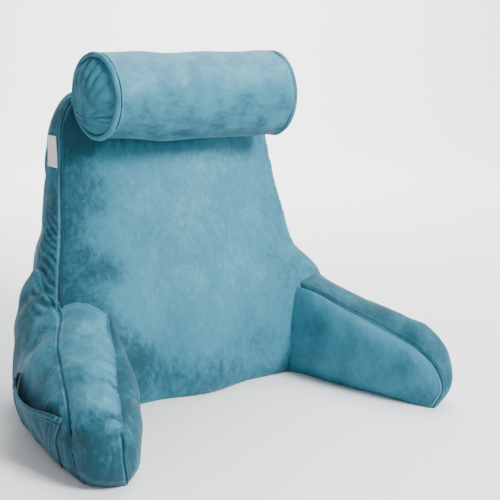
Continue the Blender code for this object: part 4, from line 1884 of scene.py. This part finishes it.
@dataclass
class SideLabel:
    """The blank woven label sewn on the left side strip beside the front seam."""

    name: str = "label_tape"
    foot: float = 0.445
    across: tuple[float, float] = (0.030, 0.290)
    flat: tuple[float, float] = (0.030, 0.058)
    thickness: float = 0.0010
    clearance: float = 0.0004
    hem: float = 0.0048
    hem_thickness: float = 0.0006
    outer_lift: float = 0.0010
    cells: tuple[int, int, int] = (22, 1, 40)

    def build(self, back: bpy.types.Object, surface: BoxedSurface) -> bpy.types.Object:
        """Builds the label on the back's cover.

        Args:
            back: the back's finished cover.
            surface: the back's surface.

        Returns:
            The finished piece.
        """
        length = self.flat[1]
        runs = np.linspace(0.0, 0.5, 201)
        heights = surface.strip(runs, np.full_like(runs, 0.1))[:, 2]
        span = np.interp((self.foot, self.foot + length), heights, runs)
        mesh, grid = cut_cube(self.name, self.cells)
        along, across, up = grid.T
        run = span[0] + (span[1] - span[0]) * up
        share = self.across[0] + (self.across[1] - self.across[0]) * along
        outward = normals_of(surface.ruled_strip, run, share) * surface.turns[2]
        spot = surface.strip(run, share) + SHIFT
        end = np.minimum(up, 1.0 - up) * length
        hem = self.hem_thickness * smooth_step(end, self.hem + 0.0004, self.hem - 0.0004)
        lift = self.outer_lift * smooth_step(along, 0.55, 1.0)
        # The tape lies on a level surface fitted to the cover, raised until it clears it.
        under = laid_on(tree_of(back.data), spot, outward, np.zeros(len(spot)))
        sunk = ((under - spot) * outward).sum(axis=1)
        terms = np.stack([np.ones_like(along), along, up, along * up, along ** 2], axis=1)
        even = terms @ np.linalg.lstsq(terms, sunk, rcond=None)[0]
        height = even + float(np.max(sunk - even)) + lift + (self.thickness + hem) * across
        write_points(mesh, spot + outward * (height + self.clearance)[:, None])
        face_out(mesh)
        piece = as_piece(self.name, mesh)
        dress(piece, WovenFinish(), "label")
        return piece


# ------------------------------------------------------------------ set
def set_up(
    data: bpy.types.Light | bpy.types.Camera, place: tuple[float, float, float], turn: Euler
) -> bpy.types.Object:
    """Stands a lamp or a camera in the scene.

    Args:
        data: the lamp or camera.
        place: where it stands.
        turn: how it is turned.

    Returns:
        Its holder.
    """
    holder = bpy.data.objects.new(data.name, data)
    holder.location = place
    holder.rotation_euler = turn
    bpy.context.scene.collection.objects.link(holder)
    return holder


@dataclass
class Studio:
    """The pale floor, the soft lights and the camera."""

    floor_colour: tuple[float, float, float, float] = (0.985, 0.99, 0.995, 1.0)
    sky_colour: tuple[float, float, float, float] = (0.97, 0.98, 1.0, 1.0)
    sky_strength: float = 0.56
    curve_start: float = 4.0
    curve_radius: float = 2.0
    near_edge: float = -6.0
    half_width: float = 9.0
    height: float = 7.0
    floor_gap: float = 0.0005

    def build(self) -> None:
        """Builds the set and makes the camera the scene's own."""
        self.floor()
        self.lights()
        self.camera()

    def floor(self) -> None:
        """A floor that curves up into a backdrop far behind the pillow."""
        outline = [(self.near_edge, 0.0)]
        for angle in np.linspace(0.0, 0.5 * math.pi, 25):
            depth = self.curve_start + self.curve_radius * math.sin(angle)
            outline.append((depth, self.curve_radius * (1.0 - math.cos(angle))))
        outline.append((self.curve_start + self.curve_radius, self.height))
        turn = math.radians(-CAMERA_YAW)
        verts = []
        for depth, height in outline:
            for across in (-self.half_width, self.half_width):
                x = across * math.cos(turn) - depth * math.sin(turn)
                y = across * math.sin(turn) + depth * math.cos(turn)
                verts.append((x, y, height - self.floor_gap))
        faces = [(2 * i, 2 * i + 1, 2 * i + 3, 2 * i + 2) for i in range(len(outline) - 1)]
        mesh = bpy.data.meshes.new("studio_floor")
        mesh.from_pydata(verts, [], faces)
        ground = as_piece("studio_floor", mesh)
        paper = bpy.data.materials.new("pale_floor")
        paper.use_nodes = True
        shader = paper.node_tree.nodes["Principled BSDF"]
        shader.inputs["Base Color"].default_value = self.floor_colour
        shader.inputs["Roughness"].default_value = 0.75
        mesh.materials.append(paper)

    def lights(self) -> None:
        """A soft key from the front right, a top light, one on the backdrop and a pale sky."""
        world = bpy.data.worlds.new("studio_sky")
        world.use_nodes = True
        sky = world.node_tree.nodes["Background"]
        sky.inputs["Color"].default_value = self.sky_colour
        sky.inputs["Strength"].default_value = self.sky_strength
        bpy.context.scene.world = world
        # Columns: name, place, aim, size, watts.
        table = (
            ("key", (0.75, -2.2, 2.0), (0.0, 0.1, 0.25), 1.0, 155.0),
            ("top", (0.9, 0.6, 2.6), (0.0, 0.0, 0.3), 1.8, 60.0),
            ("backdrop", (1.2, 2.2, 3.4), (3.4, 5.2, 0.6), 2.4, 520.0),
        )
        for name, place, aim, size, watts in table:
            lamp = bpy.data.lights.new(name, "AREA")
            lamp.shape = "DISK"
            lamp.size = size
            lamp.energy = watts
            way = Vector(aim) - Vector(place)
            set_up(lamp, place, way.to_track_quat("-Z", "Y").to_euler())

    def camera(self) -> None:
        """The camera, at the photograph's viewing angle."""
        lens = bpy.data.cameras.new("camera")
        lens.lens = CAMERA_LENS
        lens.sensor_width = 36.0
        lens.clip_end = 60.0
        turn = Euler((math.radians(90.0 - CAMERA_PITCH), 0.0, math.radians(-CAMERA_YAW)))
        bpy.context.scene.camera = set_up(lens, CAMERA_PLACE, turn)


def main() -> None:
    """Builds every piece, then the set."""
    roll = NeckRoll()
    roll.cover()
    leaning = BackCushion(roll)
    back = leaning.cover()
    surface = leaning.surface()
    for side in Side:
        arm = ArmRest(side, back, surface.seam_line(0), **ARM_SIZES[side])
        cover = arm.cover()
        if side is Side.LEFT:
            PatchPocket().build(cover, arm.surface())
    SideLabel().build(back, surface)
    for side in Side:
        roll.piping(side)
    Studio().build()


if __name__ == "__main__":
    main()
